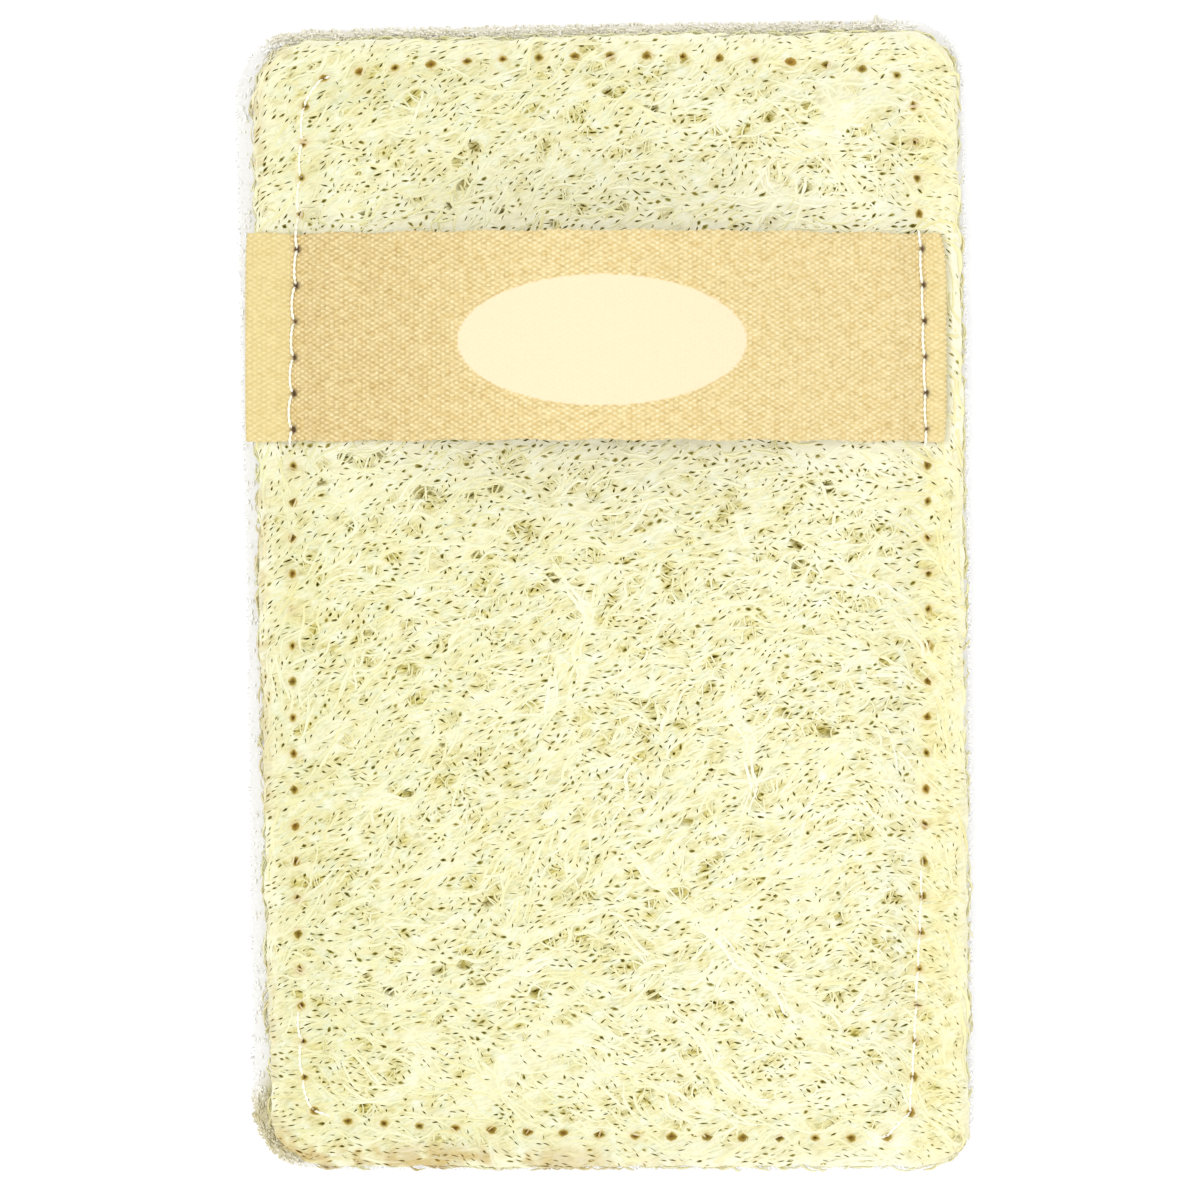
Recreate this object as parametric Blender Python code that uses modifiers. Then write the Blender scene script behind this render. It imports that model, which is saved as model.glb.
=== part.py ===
"""A stitched loofah scrub pad with a hand strap.

A pressed sheet of loofah net lies on a ply of towelling. One line of lockstitch holds the two
together all round, and catches the ends of a canvas band that makes the hand strap.

Run it with blender --background --python part.py, or from Blender's text editor.
"""

import math

import bmesh
import bpy
import numpy as np
from mathutils import Vector
from mathutils.geometry import delaunay_2d_cdt

# Lengths are in metres. The pad lies face up, with +X to its right and +Y to its strap end.
# The origin is under the middle of its outline, on the surface that it lies on.
PAD_WIDTH = 0.1028
PAD_LENGTH = 0.1600
SEED = 7

# Corners as x, y, radius and how far the next side bows out, anticlockwise from the bottom left
TOWEL_CORNERS = (
    (-0.0486, -0.0800, 0.0090, 0.0000),
    (0.0514, -0.0800, 0.0070, 0.0003),
    (0.0500, 0.0802, 0.0075, 0.0002),
    (-0.0514, 0.0786, 0.0095, -0.0003),
)
LOOFAH_CORNERS = (
    (-0.0464, -0.0796, 0.0085, 0.0000),
    (0.0511, -0.0796, 0.0065, 0.0002),
    (0.0493, 0.0785, 0.0070, 0.0001),
    (-0.0489, 0.0770, 0.0080, 0.0003),
)
SEAM_CORNERS = (
    (-0.0414, -0.0728, 0.0045, 0.0008),
    (0.0428, -0.0755, 0.0045, 0.0022),
    (0.0430, 0.0728, 0.0045, 0.0024),
    (-0.0414, 0.0722, 0.0045, 0.0018),
)
OUTLINE_STEP = 0.0048
OUTLINE_RIPPLE = 0.00016
RIPPLE_WAVES = (11, 23)
ARC_POINTS = 24
SIDE_POINTS = 80

# Towelling ply
TOWEL_THICK = 0.0024
TOWEL_RIM = 0.0007
TOWEL_RIM_INSET = 0.0010
TOWEL_GROOVE = 0.00095
GROOVE_HALF_WIDTH = 0.0020

# Loofah ply
PLY_GAP = 0.0003
LOOFAH_FULL = 0.0055
LOOFAH_SEAM = 0.0026
LOOFAH_MARGIN = 0.0036
LOOFAH_EDGE = 0.0026
LOOFAH_EDGE_RAGGED = 0.0003
SHOULDER_INSIDE = 0.0042
SHOULDER_OUTSIDE = 0.0022
SWELL = 0.00025
SWELL_LENGTH = 0.047

# Raised net of the loofah: cells stretched along the fibres, with a pit in each
NET_ALONG = 0.0040
NET_ACROSS = 0.00155
FIBRE_ANGLE = math.radians(30)
FIBRE_WAVE = 0.0024
FIBRE_WAVE_LENGTH = 0.095
NET_JITTER = 0.28
PIT_DEPTH = (0.0010, 0.0022)
RIDGE_HEIGHT = (0.0001, 0.0006)
MARGIN_RELIEF = 0.6
STRAP_RELIEF = 0.15
STRAP_PRESS_REACH = 0.003
NET_OFF_SEAM = 0.0013
NET_OFF_EDGE = 0.0010

# Lockstitch: needle holes, and a thread above and below that lock between the plies
STITCHES = 91
STITCH_PHASE = 0.70
HOLE_HALF_LENGTH = 0.0008
HOLE_HALF_WIDTH = 0.0006
THREAD_RADIUS = 0.00025
THREAD_GAP = 0.0003
STITCH_BEND = 0.00055

# Canvas hand strap
STRAP_LEFT = -0.0496
STRAP_RIGHT = 0.0476
STRAP_BOTTOM = 0.0213
STRAP_TOP = 0.0501
STRAP_THICK = 0.0010
STRAP_GAP = 0.0004
STRAP_HAND_GAP = 0.0072
STRAP_ARCH_POWER = 1.1
STRAP_STATIONS = 46
STRAP_ROWS = 7
STRAP_SOFTNESS = 0.0004

COLOURS = {
    "loofah_face": ("F3F0C4", 0.75),
    "towel_back": ("EFEDE6", 0.95),
    "hand_strap": ("EED9A4", 0.85),
    "needle_thread": ("F6F2DE", 0.60),
    "bobbin_thread": ("F6F2DE", 0.60),
}

LOOFAH_BOTTOM = TOWEL_THICK + PLY_GAP
LOCK_HEIGHT = TOWEL_THICK + PLY_GAP / 2
THREAD_CLEAR = THREAD_RADIUS + THREAD_GAP


def clear_scene():
    for old in list(bpy.data.objects):
        bpy.data.objects.remove(old, do_unlink=True)


def new_collection(name):
    made = bpy.data.collections.new(name)
    bpy.context.scene.collection.children.link(made)
    return made


def principled(name):
    """Material with the piece's own colour, from its sRGB hex code."""
    code, roughness = COLOURS[name]
    srgb = [int(code[i : i + 2], 16) / 255 for i in (0, 2, 4)]
    linear = [((c + 0.055) / 1.055) ** 2.4 for c in srgb]
    material = bpy.data.materials.new(name)
    material.use_nodes = True
    shader = material.node_tree.nodes["Principled BSDF"]
    shader.inputs["Base Color"].default_value = (*linear, 1)
    shader.inputs["Roughness"].default_value = roughness
    shader.inputs["Metallic"].default_value = 0
    return material


def add_object(name, data, collection):
    made = bpy.data.objects.new(name, data)
    data.materials.append(principled(name))
    collection.objects.link(made)
    return made


def spaced(path, count, phase=0.0):
    """Points at equal steps along a closed path, and the path's direction at each."""
    closed = np.vstack([path, path[:1]])
    run = np.concatenate([[0], np.cumsum(np.linalg.norm(np.diff(closed, axis=0), axis=1))])
    stations = (np.arange(count) + phase) / count * run[-1]

    def at(distance):
        wrapped = distance % run[-1]
        return np.column_stack([np.interp(wrapped, run, closed[:, axis]) for axis in (0, 1)])

    look = run[-1] / count / 8
    ahead = at(stations + look) - at(stations - look)
    return at(stations), ahead / np.linalg.norm(ahead, axis=1)[:, None]


def rounded_path(corners):
    """Dense closed path: an arc at each corner, and sides that bow out as a parabola."""
    places = np.array([corner[:2] for corner in corners])
    into = places - np.roll(places, 1, axis=0)
    into /= np.linalg.norm(into, axis=1)[:, None]
    out = np.roll(into, -1, axis=0)
    arcs = []
    for here, before, after, (_, _, radius, _) in zip(places, into, out, corners):
        turn = math.acos(float(before @ after))
        left = np.array([-before[1], before[0]])
        centre = here - before * radius * math.tan(turn / 2) + left * radius
        angle = np.linspace(0, turn, ARC_POINTS)[:, None]
        arcs.append(centre + radius * (np.sin(angle) * before - np.cos(angle) * left))
    pieces = []
    for index, arc in enumerate(arcs):
        start = arc[-1]
        end = arcs[(index + 1) % len(arcs)][0]
        outward = np.array([out[index][1], -out[index][0]])
        share = np.linspace(0, 1, SIDE_POINTS)[1:-1, None]
        bow = 4 * corners[index][3] * share * (1 - share)
        pieces += [arc, start + (end - start) * share + outward * bow]
    return np.vstack(pieces)


def outline_of(corners):
    """Outline of a ply at even steps, with the slight ripple of a hand-cut edge."""
    path = rounded_path(corners)
    length = np.linalg.norm(np.roll(path, -1, axis=0) - path, axis=1).sum()
    points, ahead = spaced(path, round(length / OUTLINE_STEP))
    turn = np.arange(len(points)) / len(points) * 2 * math.pi
    ripple = OUTLINE_RIPPLE * sum(np.sin(waves * turn + waves) for waves in RIPPLE_WAVES)
    return points + np.column_stack([ahead[:, 1], -ahead[:, 0]]) * ripple[:, None]


def fitted(points):
    """The outline moved and stretched a hair so that it is exactly the pad's width and length."""
    low = points.min(axis=0)
    high = points.max(axis=0)
    return (points - (low + high) / 2) / (high - low) * np.array([PAD_WIDTH, PAD_LENGTH])


def inset(outline, distance):
    """The outline's points moved inwards along the mean of their neighbours' directions."""
    ahead = np.roll(outline, -1, axis=0) - np.roll(outline, 1, axis=0)
    ahead /= np.linalg.norm(ahead, axis=1)[:, None]
    return outline + np.column_stack([-ahead[:, 1], ahead[:, 0]]) * distance


def inside(points, loop):
    """Which points a closed loop holds, by the crossings of a ray along +X."""
    start = loop[None]
    end = np.roll(loop, -1, axis=0)[None]
    x = points[:, None, 0]
    y = points[:, None, 1]
    spans = (start[..., 1] > y) != (end[..., 1] > y)
    rise = np.where(start[..., 1] == end[..., 1], 1, end[..., 1] - start[..., 1])
    cross = start[..., 0] + (y - start[..., 1]) / rise * (end[..., 0] - start[..., 0])
    return (spans & (x < cross)).sum(axis=1) % 2 == 1


def distance_to(points, loop):
    """Distance from each point to a closed loop, positive inside it."""
    start = loop[None]
    side = np.roll(loop, -1, axis=0)[None] - start
    away = points[:, None] - start
    share = np.clip((away * side).sum(-1) / (side * side).sum(-1), 0, 1)
    nearest = np.linalg.norm(away - share[..., None] * side, axis=-1).min(axis=1)
    return np.where(inside(points, loop), nearest, -nearest)


def needle_holes(stations, ahead):
    """Four corners of each needle hole, anticlockwise, longest along the seam."""
    left = np.column_stack([-ahead[:, 1], ahead[:, 0]])
    corners = []
    for along, across in ((1, 1), (-1, 1), (-1, -1), (1, -1)):
        corners.append(stations + along * HOLE_HALF_LENGTH * ahead + across * HOLE_HALF_WIDTH * left)
    return np.stack(corners, axis=1)


def loop_edges(first, count):
    return [(first + i, first + (i + 1) % count) for i in range(count)]


def hole_edges(first):
    edges = []
    for hole in range(STITCHES):
        edges += loop_edges(first + 4 * hole, 4)
    return edges


def bed_edges(first):
    """Edges from each hole to the next, so that the bed between them is one flat strip."""
    edges = []
    for hole in range(STITCHES):
        here = first + 4 * hole
        there = first + 4 * ((hole + 1) % STITCHES)
        edges += [(here, there + 1), (here + 3, there + 2)]
    return edges


def triangles_of(points, edges, ring):
    """Delaunay triangles inside the outline and outside the holes, as input indices.

    The outline's points come first, ring of them, and then four for each needle hole."""
    made = delaunay_2d_cdt([Vector(p) for p in points], edges, [], 0, 1e-9)
    source = np.array([originals[0] for originals in made[3]])
    faces = source[np.array(made[2])]
    middles = points[faces].mean(axis=1)
    kept = inside(middles, points[:ring])
    on_hole = (faces >= ring) & (faces < ring + 4 * STITCHES)
    hole_of = (faces - ring) // 4
    in_hole = on_hole.all(axis=1) & (hole_of == hole_of[:, :1]).all(axis=1)
    return faces[kept & ~in_hole]


def ply_mesh(name, ring, top, bottom):
    """Closed ply: two triangulated surfaces over one outline, walled round it and in each hole.

    top and bottom each give their flat points, the heights there and the triangles."""
    shared = ring + 4 * STITCHES
    vertices = []
    faces = []
    for flat, heights, triangles in (top, bottom):
        offset = len(vertices)
        vertices += np.column_stack([flat, heights]).tolist()
        faces += (triangles + offset).tolist()
    below = len(top[0])
    loops = [range(ring)]
    loops += [range(first, first + 4) for first in range(ring, shared, 4)]
    for loop in loops:
        loop = list(loop)
        for here, there in zip(loop, loop[1:] + loop[:1]):
            faces.append((here, below + here, below + there, there))
    mesh = bpy.data.meshes.new(name)
    mesh.from_pydata(vertices, [], faces)
    shape = bmesh.new()
    shape.from_mesh(mesh)
    bmesh.ops.recalc_face_normals(shape, faces=shape.faces)
    shape.to_mesh(mesh)
    shape.free()
    return mesh


class Seam:
    """The line of lockstitch: its path, its needle holes and how far a point lies from it."""

    def __init__(self):
        path = rounded_path(SEAM_CORNERS)
        self.loop = spaced(path, 2 * STITCHES)[0]
        self.stations, self.ahead = spaced(path, STITCHES, STITCH_PHASE)
        self.holes = needle_holes(self.stations, self.ahead)

    def depth(self, points):
        return distance_to(points, self.loop)

    def under_strap(self):
        return (self.stations[:, 1] > STRAP_BOTTOM) & (self.stations[:, 1] < STRAP_TOP)


def towel_surface(outline, seam, rim_height, flat_height, grooved):
    """One face of the towelling: a rolled rim, and on the underside a groove for the thread."""
    rim = inset(outline, TOWEL_RIM_INSET)
    holes = seam.holes.reshape(-1, 2)
    first = len(outline)
    flat = [outline, holes, rim]
    heights = [np.full(len(outline), rim_height)]
    heights += [np.full(len(holes), flat_height + (TOWEL_GROOVE if grooved else 0))]
    heights += [np.full(len(rim), flat_height)]
    edges = loop_edges(0, first) + hole_edges(first) + loop_edges(first + len(holes), len(rim))
    if grooved:
        edges += bed_edges(first)
        for side in (-1, 1):
            wall = inset(seam.stations, side * GROOVE_HALF_WIDTH)
            edges += loop_edges(sum(map(len, flat)), len(wall))
            flat.append(wall)
            heights.append(np.full(len(wall), flat_height))
    flat = np.vstack(flat)
    return flat, np.concatenate(heights), triangles_of(flat, edges, first)


def build_towel(seam, collection):
    outline = fitted(outline_of(TOWEL_CORNERS))
    top = towel_surface(outline, seam, TOWEL_THICK - TOWEL_RIM, TOWEL_THICK, False)
    bottom = towel_surface(outline, seam, TOWEL_RIM, 0.0, True)
    mesh = ply_mesh("towel_back", len(outline), top, bottom)
    add_object("towel_back", mesh, collection)


def loofah_level(points, seam):
    """Top of the pressed sheet without its net: thin at the seam, full well inside it."""
    depth = seam.depth(points)
    rise_inside = (LOOFAH_FULL - LOOFAH_SEAM) * (1 - np.exp(-((depth / SHOULDER_INSIDE) ** 2)))
    rise_outside = (LOOFAH_MARGIN - LOOFAH_SEAM) * (1 - np.exp(-((depth / SHOULDER_OUTSIDE) ** 2)))
    wave = 2 * math.pi / SWELL_LENGTH
    swell = SWELL * np.sin(wave * points[:, 0] + 1) * np.sin(wave * points[:, 1])
    full = np.clip(depth / (2 * SHOULDER_INSIDE), 0, 1)
    return LOOFAH_BOTTOM + LOOFAH_SEAM + np.where(depth > 0, rise_inside, rise_outside) + swell * full


def relief_share(points, seam):
    """How strongly the net stands out: less on the margin, least where the strap presses it."""
    depth = seam.depth(points)
    share = np.where(depth > 0, 1.0, MARGIN_RELIEF)
    off_middle = np.abs(points[:, 1] - (STRAP_BOTTOM + STRAP_TOP) / 2)
    pressed = off_middle < (STRAP_TOP - STRAP_BOTTOM) / 2 + STRAP_PRESS_REACH
    return np.where(pressed & (depth < 2 * SHOULDER_INSIDE), STRAP_RELIEF, share)


def net_wave(along):
    return FIBRE_WAVE * np.sin(2 * math.pi * along / FIBRE_WAVE_LENGTH)


def to_net(points):
    """Flat points in the net's own grid, where its cells are regular."""
    cos = math.cos(FIBRE_ANGLE)
    sin = math.sin(FIBRE_ANGLE)
    along = points[:, 0] * cos + points[:, 1] * sin
    across = points[:, 1] * cos - points[:, 0] * sin
    return np.column_stack([along / NET_ALONG, (across - net_wave(along)) / NET_ACROSS])


def from_net(points):
    """The other way: from the net's grid to the pad."""
    cos = math.cos(FIBRE_ANGLE)
    sin = math.sin(FIBRE_ANGLE)
    along = points[:, 0] * NET_ALONG
    across = points[:, 1] * NET_ACROSS + net_wave(along)
    return np.column_stack([along * cos - across * sin, along * sin + across * cos])


def net_points(outline, seam, draw):
    """Points of the net on the sheet, and which are pits: every third of a triangular lattice."""
    reach = math.ceil(PAD_LENGTH / NET_ACROSS)
    i, j = np.meshgrid(np.arange(-reach, reach + 1), np.arange(-reach, reach + 1))
    i = i.ravel()
    j = j.ravel()
    lattice = np.column_stack([i + j / 2, j * math.sqrt(3) / 2])
    lattice += draw.uniform(-NET_JITTER, NET_JITTER, lattice.shape)
    flat = from_net(lattice)
    kept = np.abs(flat).max(axis=1) < PAD_LENGTH / 2
    flat = flat[kept]
    pit = ((i - j) % 3 == 0)[kept]
    clear = (distance_to(flat, outline) > NET_OFF_EDGE) & (np.abs(seam.depth(flat)) > NET_OFF_SEAM)
    return flat[clear], pit[clear]


def build_loofah(seam, collection):
    draw = np.random.default_rng(SEED)
    outline = outline_of(LOOFAH_CORNERS)
    net, pit = net_points(outline, seam, draw)
    holes = seam.holes.reshape(-1, 2)
    ring = len(outline)
    edges = loop_edges(0, ring) + hole_edges(ring)

    flat = np.vstack([outline, holes, net])
    triangles = triangles_of(to_net(flat), edges + bed_edges(ring), ring)
    level = loofah_level(net, seam)
    share = relief_share(net, seam)
    net_height = draw.uniform(*RIDGE_HEIGHT, len(net))
    net_height[pit] = -draw.uniform(*PIT_DEPTH, pit.sum())
    ragged = draw.uniform(-LOOFAH_EDGE_RAGGED, LOOFAH_EDGE_RAGGED, ring)
    edge_height = LOOFAH_BOTTOM + LOOFAH_EDGE + ragged
    heights = np.concatenate([edge_height, loofah_level(holes, seam), level + share * net_height])
    top = (flat, heights, triangles)

    flat = np.vstack([outline, holes])
    bottom = (flat, np.full(len(flat), LOOFAH_BOTTOM), triangles_of(flat, edges, ring))
    add_object("loofah_face", ply_mesh("loofah_face", ring, top, bottom), collection)


def strap_underside(x, seam):
    """Height of the strap's underside: down on the sheet at its ends, arched clear between.

    It is the smooth larger of the sheet's own height and an arch from seam to seam."""
    rows = np.linspace(STRAP_BOTTOM, STRAP_TOP, STRAP_ROWS)
    grid = np.array([(px, py) for px in x for py in rows])
    level = loofah_level(grid, seam) + relief_share(grid, seam) * RIDGE_HEIGHT[1]
    rest = level.reshape(len(x), len(rows)).max(axis=1) + STRAP_GAP
    held = seam.stations[seam.under_strap()][:, 0]
    left = held[held < 0].mean()
    right = held[held > 0].mean()
    span = np.clip((x - left) / (right - left), 0, 1)
    seam_level = LOOFAH_BOTTOM + LOOFAH_SEAM + STRAP_GAP
    crown = LOOFAH_BOTTOM + LOOFAH_FULL + RIDGE_HEIGHT[1] + STRAP_HAND_GAP
    arch = seam_level + (crown - seam_level) * np.sin(math.pi * span) ** STRAP_ARCH_POWER
    top = np.maximum(rest, arch)
    spread = np.exp((rest - top) / STRAP_SOFTNESS) + np.exp((arch - top) / STRAP_SOFTNESS)
    return top + STRAP_SOFTNESS * np.log(spread)


def build_cutters(seam, collection):
    """Blocks through the strap at each needle hole that it covers."""
    for index in np.flatnonzero(seam.under_strap()):
        x, y = seam.stations[index]
        mesh = bpy.data.meshes.new("strap_hole_cutter")
        shape = bmesh.new()
        bmesh.ops.create_cube(shape, size=1)
        bmesh.ops.scale(
            shape,
            vec=(2 * HOLE_HALF_LENGTH, 2 * HOLE_HALF_WIDTH, 10 * STRAP_THICK),
            verts=shape.verts,
        )
        shape.to_mesh(mesh)
        shape.free()
        cutter = bpy.data.objects.new("strap_hole_cutter", mesh)
        cutter.location = (x, y, LOOFAH_BOTTOM + LOOFAH_SEAM + STRAP_THICK)
        cutter.rotation_euler.z = math.atan2(seam.ahead[index, 1], seam.ahead[index, 0])
        cutter.hide_render = True
        cutter.display_type = "WIRE"
        collection.objects.link(cutter)


def build_strap(seam, cutters, collection):
    """A band swept along its arched profile, thickened, with its needle holes cut."""
    x = np.linspace(STRAP_LEFT, STRAP_RIGHT, STRAP_STATIONS)
    z = strap_underside(x, seam)
    low = np.column_stack([x, np.full_like(x, STRAP_BOTTOM), z])
    high = np.column_stack([x, np.full_like(x, STRAP_TOP), z])
    faces = []
    for i in range(len(x) - 1):
        faces.append((i, i + 1, len(x) + i + 1, len(x) + i))
    mesh = bpy.data.meshes.new("hand_strap")
    mesh.from_pydata(np.vstack([low, high]).tolist(), [], faces)
    strap = add_object("hand_strap", mesh, collection)
    thicken = strap.modifiers.new("canvas thickness", "SOLIDIFY")
    thicken.thickness = STRAP_THICK
    thicken.offset = 1
    cut = strap.modifiers.new("needle holes", "BOOLEAN")
    cut.operation = "DIFFERENCE"
    cut.operand_type = "COLLECTION"
    cut.collection = cutters


def build_thread(name, route, collection):
    """One endless thread along a route of points."""
    curve = bpy.data.curves.new(name, "CURVE")
    curve.dimensions = "3D"
    curve.twist_mode = "Z_UP"
    curve.bevel_depth = THREAD_RADIUS
    curve.bevel_resolution = 0
    spline = curve.splines.new("POLY")
    spline.points.add(len(route) - 1)
    spline.points.foreach_set("co", np.column_stack([route, np.ones(len(route))]).ravel())
    spline.use_cyclic_u = True
    add_object(name, curve, collection)


def needle_route(seam):
    """The upper thread: along the face from hole to hole, and down each hole to the lock.

    Over the strap's ends it lies on the canvas, and it clears the band's edges."""
    covered = seam.under_strap()
    reach = np.array([-HOLE_HALF_LENGTH, 0, HOLE_HALF_LENGTH])
    across = seam.stations[:, None, 0] + reach
    canvas = strap_underside(across.ravel(), seam).reshape(-1, 3).max(axis=1) + STRAP_THICK
    bed = loofah_level(seam.holes.reshape(-1, 2), seam).reshape(-1, 4).max(axis=1)
    surface = np.where(covered, canvas, bed) + THREAD_CLEAR
    route = []
    for index, (place, ahead) in enumerate(zip(seam.stations, seam.ahead)):
        route.append((*(place - ahead * STITCH_BEND), surface[index]))
        route.append((*place, LOCK_HEIGHT + THREAD_GAP / 2 + THREAD_RADIUS))
        route.append((*(place + ahead * STITCH_BEND), surface[index]))
        after = (index + 1) % len(covered)
        if covered[index] == covered[after]:
            continue
        edge = STRAP_TOP if max(place[1], seam.stations[after][1]) > STRAP_TOP else STRAP_BOTTOM
        outside = edge + (STITCH_BEND if edge == STRAP_TOP else -STITCH_BEND)
        share = (outside - place[1]) / (seam.stations[after][1] - place[1])
        spot = place + share * (seam.stations[after] - place)
        route.append((*spot, max(surface[index], surface[after])))
    return np.array(route)


def bobbin_route(seam):
    """The lower thread: in the towelling's groove, and up each hole to the lock."""
    groove = TOWEL_GROOVE - THREAD_CLEAR
    lock = LOCK_HEIGHT - THREAD_GAP / 2 - THREAD_RADIUS
    bends = np.column_stack([seam.stations - seam.ahead * STITCH_BEND, np.full(STITCHES, groove)])
    locks = np.column_stack([seam.stations, np.full(STITCHES, lock)])
    leaves = np.column_stack([seam.stations + seam.ahead * STITCH_BEND, np.full(STITCHES, groove)])
    return np.stack([bends, locks, leaves], axis=1).reshape(-1, 3)


def main():
    clear_scene()
    pad = new_collection("loofah_scrub_pad")
    cutters = new_collection("cutters")
    seam = Seam()
    build_towel(seam, pad)
    build_loofah(seam, pad)
    build_cutters(seam, cutters)
    build_strap(seam, cutters, pad)
    build_thread("needle_thread", needle_route(seam), pad)
    build_thread("bobbin_thread", bobbin_route(seam), pad)


main()
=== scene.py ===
"""Looks of a hand-size scrub pad: a pressed loofah sheet sewn to white towelling, with a canvas hand band.

Shapes are worked out in millimetres as whole arrays, in the frame of the solids: x across the pad, y along
it and z up from the underside of the towelling. They are turned to metres as each mesh is made.
"""

import math

import bpy
import numpy as np
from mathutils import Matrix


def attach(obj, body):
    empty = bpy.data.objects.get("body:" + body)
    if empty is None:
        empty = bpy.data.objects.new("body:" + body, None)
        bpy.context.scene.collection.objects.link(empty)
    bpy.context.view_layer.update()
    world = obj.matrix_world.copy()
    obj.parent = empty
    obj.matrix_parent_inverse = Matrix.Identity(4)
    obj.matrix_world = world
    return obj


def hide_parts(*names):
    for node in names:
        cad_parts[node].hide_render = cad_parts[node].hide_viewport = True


SEED = 7
MM = 0.001

# Corners of the outlines and of the seam, as in the solids: x, y, radius, bow of the side that follows
TOWEL_CORNERS = (
    (-48.6, -80.0, 9.0, 0.0),
    (51.4, -80.0, 7.0, 0.3),
    (50.0, 80.2, 7.5, 0.2),
    (-51.4, 78.6, 9.5, -0.3),
)
TUFT = (38.3, 80.0)  # where a tuft of pile stands out of the towelling's top edge
LOOFAH_CORNERS = (
    (-46.4, -79.6, 8.5, 0.0),
    (51.1, -79.6, 6.5, 0.2),
    (49.3, 78.5, 7.0, 0.1),
    (-48.9, 77.0, 8.0, 0.3),
)
SEAM_CORNERS = (
    (-41.4, -72.8, 4.5, 0.8),
    (42.8, -75.5, 4.5, 2.2),
    (43.0, 72.8, 4.5, 2.4),
    (-41.4, 72.2, 4.5, 1.8),
)
PAD_WIDTH = 102.8
PAD_LENGTH = 160.0
ARC_POINTS = 24
SIDE_POINTS = 80

# Layers, as in the solids
TOWEL_GROOVE = 0.95
GROOVE_HALF_WIDTH = 2.0
LOOFAH_BOTTOM = 2.7
LOOFAH_FULL = 5.5
LOOFAH_SEAM = 2.6
LOOFAH_MARGIN = 3.6
SHOULDER_INSIDE = 4.2
SHOULDER_OUTSIDE = 2.2
SWELL = 0.25
SWELL_LENGTH = 47.0

# Stitching, as in the solids
STITCHES = 91
STITCH_PHASE = 0.70
STITCH_LOCK = 2.55

# Hand band, as in the solids
STRAP_LEFT = -49.6
STRAP_RIGHT = 47.6
STRAP_BOTTOM = 21.3
STRAP_TOP = 50.1
STRAP_THICK = 1.0
STRAP_GAP = 0.4
STRAP_CROWN = 16.0
STRAP_SOFTNESS = 0.4
STRAP_ARCH_POWER = 1.1
ARCH_LEFT = -43.2
ARCH_SPAN = 88.4

# Larger pits between the fibres: x, y, half length, half width, turn in degrees
PITS = (
    (-24.9, 14.2, 1.50, 0.85, -5),
    (27.9, 56.2, 1.10, 0.80, -59),
    (-35.8, 19.2, 1.15, 0.70, -20),
    (-22.8, -52.0, 1.00, 0.80, 3),
    (31.2, 14.9, 1.15, 0.80, -70),
    (-15.6, -42.4, 1.20, 0.65, 31),
    (11.5, -31.3, 1.10, 0.65, 5),
    (7.0, -55.4, 1.15, 0.60, -42),
    (-19.3, -51.2, 0.90, 0.75, -67),
    (31.1, -19.1, 0.90, 0.75, 6),
    (-6.9, 2.5, 0.90, 0.80, -63),
    (22.7, 66.2, 0.90, 0.75, 0),
    (-33.0, -53.6, 1.40, 0.60, 72),
    (26.9, 4.2, 1.30, 0.50, 54),
    (-19.4, 56.9, 1.25, 0.50, 33),
    (27.0, 6.9, 1.15, 0.50, -31),
    (-6.7, 51.2, 1.05, 0.50, -5),
    (-14.9, 14.7, 1.10, 0.50, 13),
    (-21.2, 54.0, 0.80, 0.65, 69),
    (-17.9, 62.1, 0.75, 0.70, -32),
    (-38.9, 15.5, 0.90, 0.55, 10),
    (-14.4, 53.2, 0.80, 0.60, 10),
    (21.8, -13.7, 0.90, 0.50, -84),
    (-18.0, 13.8, 0.85, 0.55, 4),
    (-27.0, -27.5, 0.70, 0.60, 33),
    (-31.0, 19.4, 0.75, 0.60, 45),
    (0.5, 69.7, 0.70, 0.55, -4),
    (6.8, -60.7, 0.90, 0.45, -36),
    (-39.7, -56.6, 0.75, 0.50, -27),
    (-9.5, -54.7, 0.80, 0.50, 24),
    (-34.7, 9.6, 0.65, 0.60, 89),
    (-29.8, -54.9, 1.05, 0.40, -39),
    (2.9, 53.7, 0.85, 0.40, 27),
    (-32.8, 52.7, 1.15, 0.35, -8),
    (-22.3, -20.3, 0.80, 0.45, -76),
    (7.0, 67.4, 0.75, 0.45, -37),
    (-17.6, 5.4, 0.65, 0.55, -4),
)

# Broad white veins of the face: points along each, in mm
VEINS = (
    ((-7.4, 4.8), (-3.3, -1.4), (-1.2, -4.2)),
    ((-3.5, 0.4), (-1.9, -3.2), (-3.5, -7.3), (-2.7, -10.5), (-3.5, -12.7)),
    ((-7.1, -10.5), (-7.0, -15.9)),
    ((17.5, -15.9), (20.3, -20.1), (20.3, -27.0), (19.2, -31.1)),
    ((40.3, -2.8), (43.8, -6.2), (46.6, -11.1)),
    ((1.6, -33.9), (10.6, -42.9), (18.9, -50.5), (27.2, -58.8)),
    ((11.3, -58.8), (17.5, -67.1), (23.7, -71.3)),
    ((-15.7, -54.0), (-7.4, -50.5)),
    ((-34.4, -29.8), (-30.9, -28.0), (-27.5, -29.1)),
    ((-19.9, -44.3), (-25.4, -47.8)),
    ((18.9, 11.1), (19.2, 6.9)),
    ((13.4, 54.7), (24.0, 54.4), (27.3, 54.5), (36.9, 54.8), (41.0, 53.0)),
    ((24.0, 54.4), (21.7, 58.8)),
    ((27.3, 54.5), (27.2, 57.4)),
    ((24.0, 54.4), (19.6, 49.8)),
    ((27.3, 54.5), (25.8, 49.8)),
)


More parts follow.
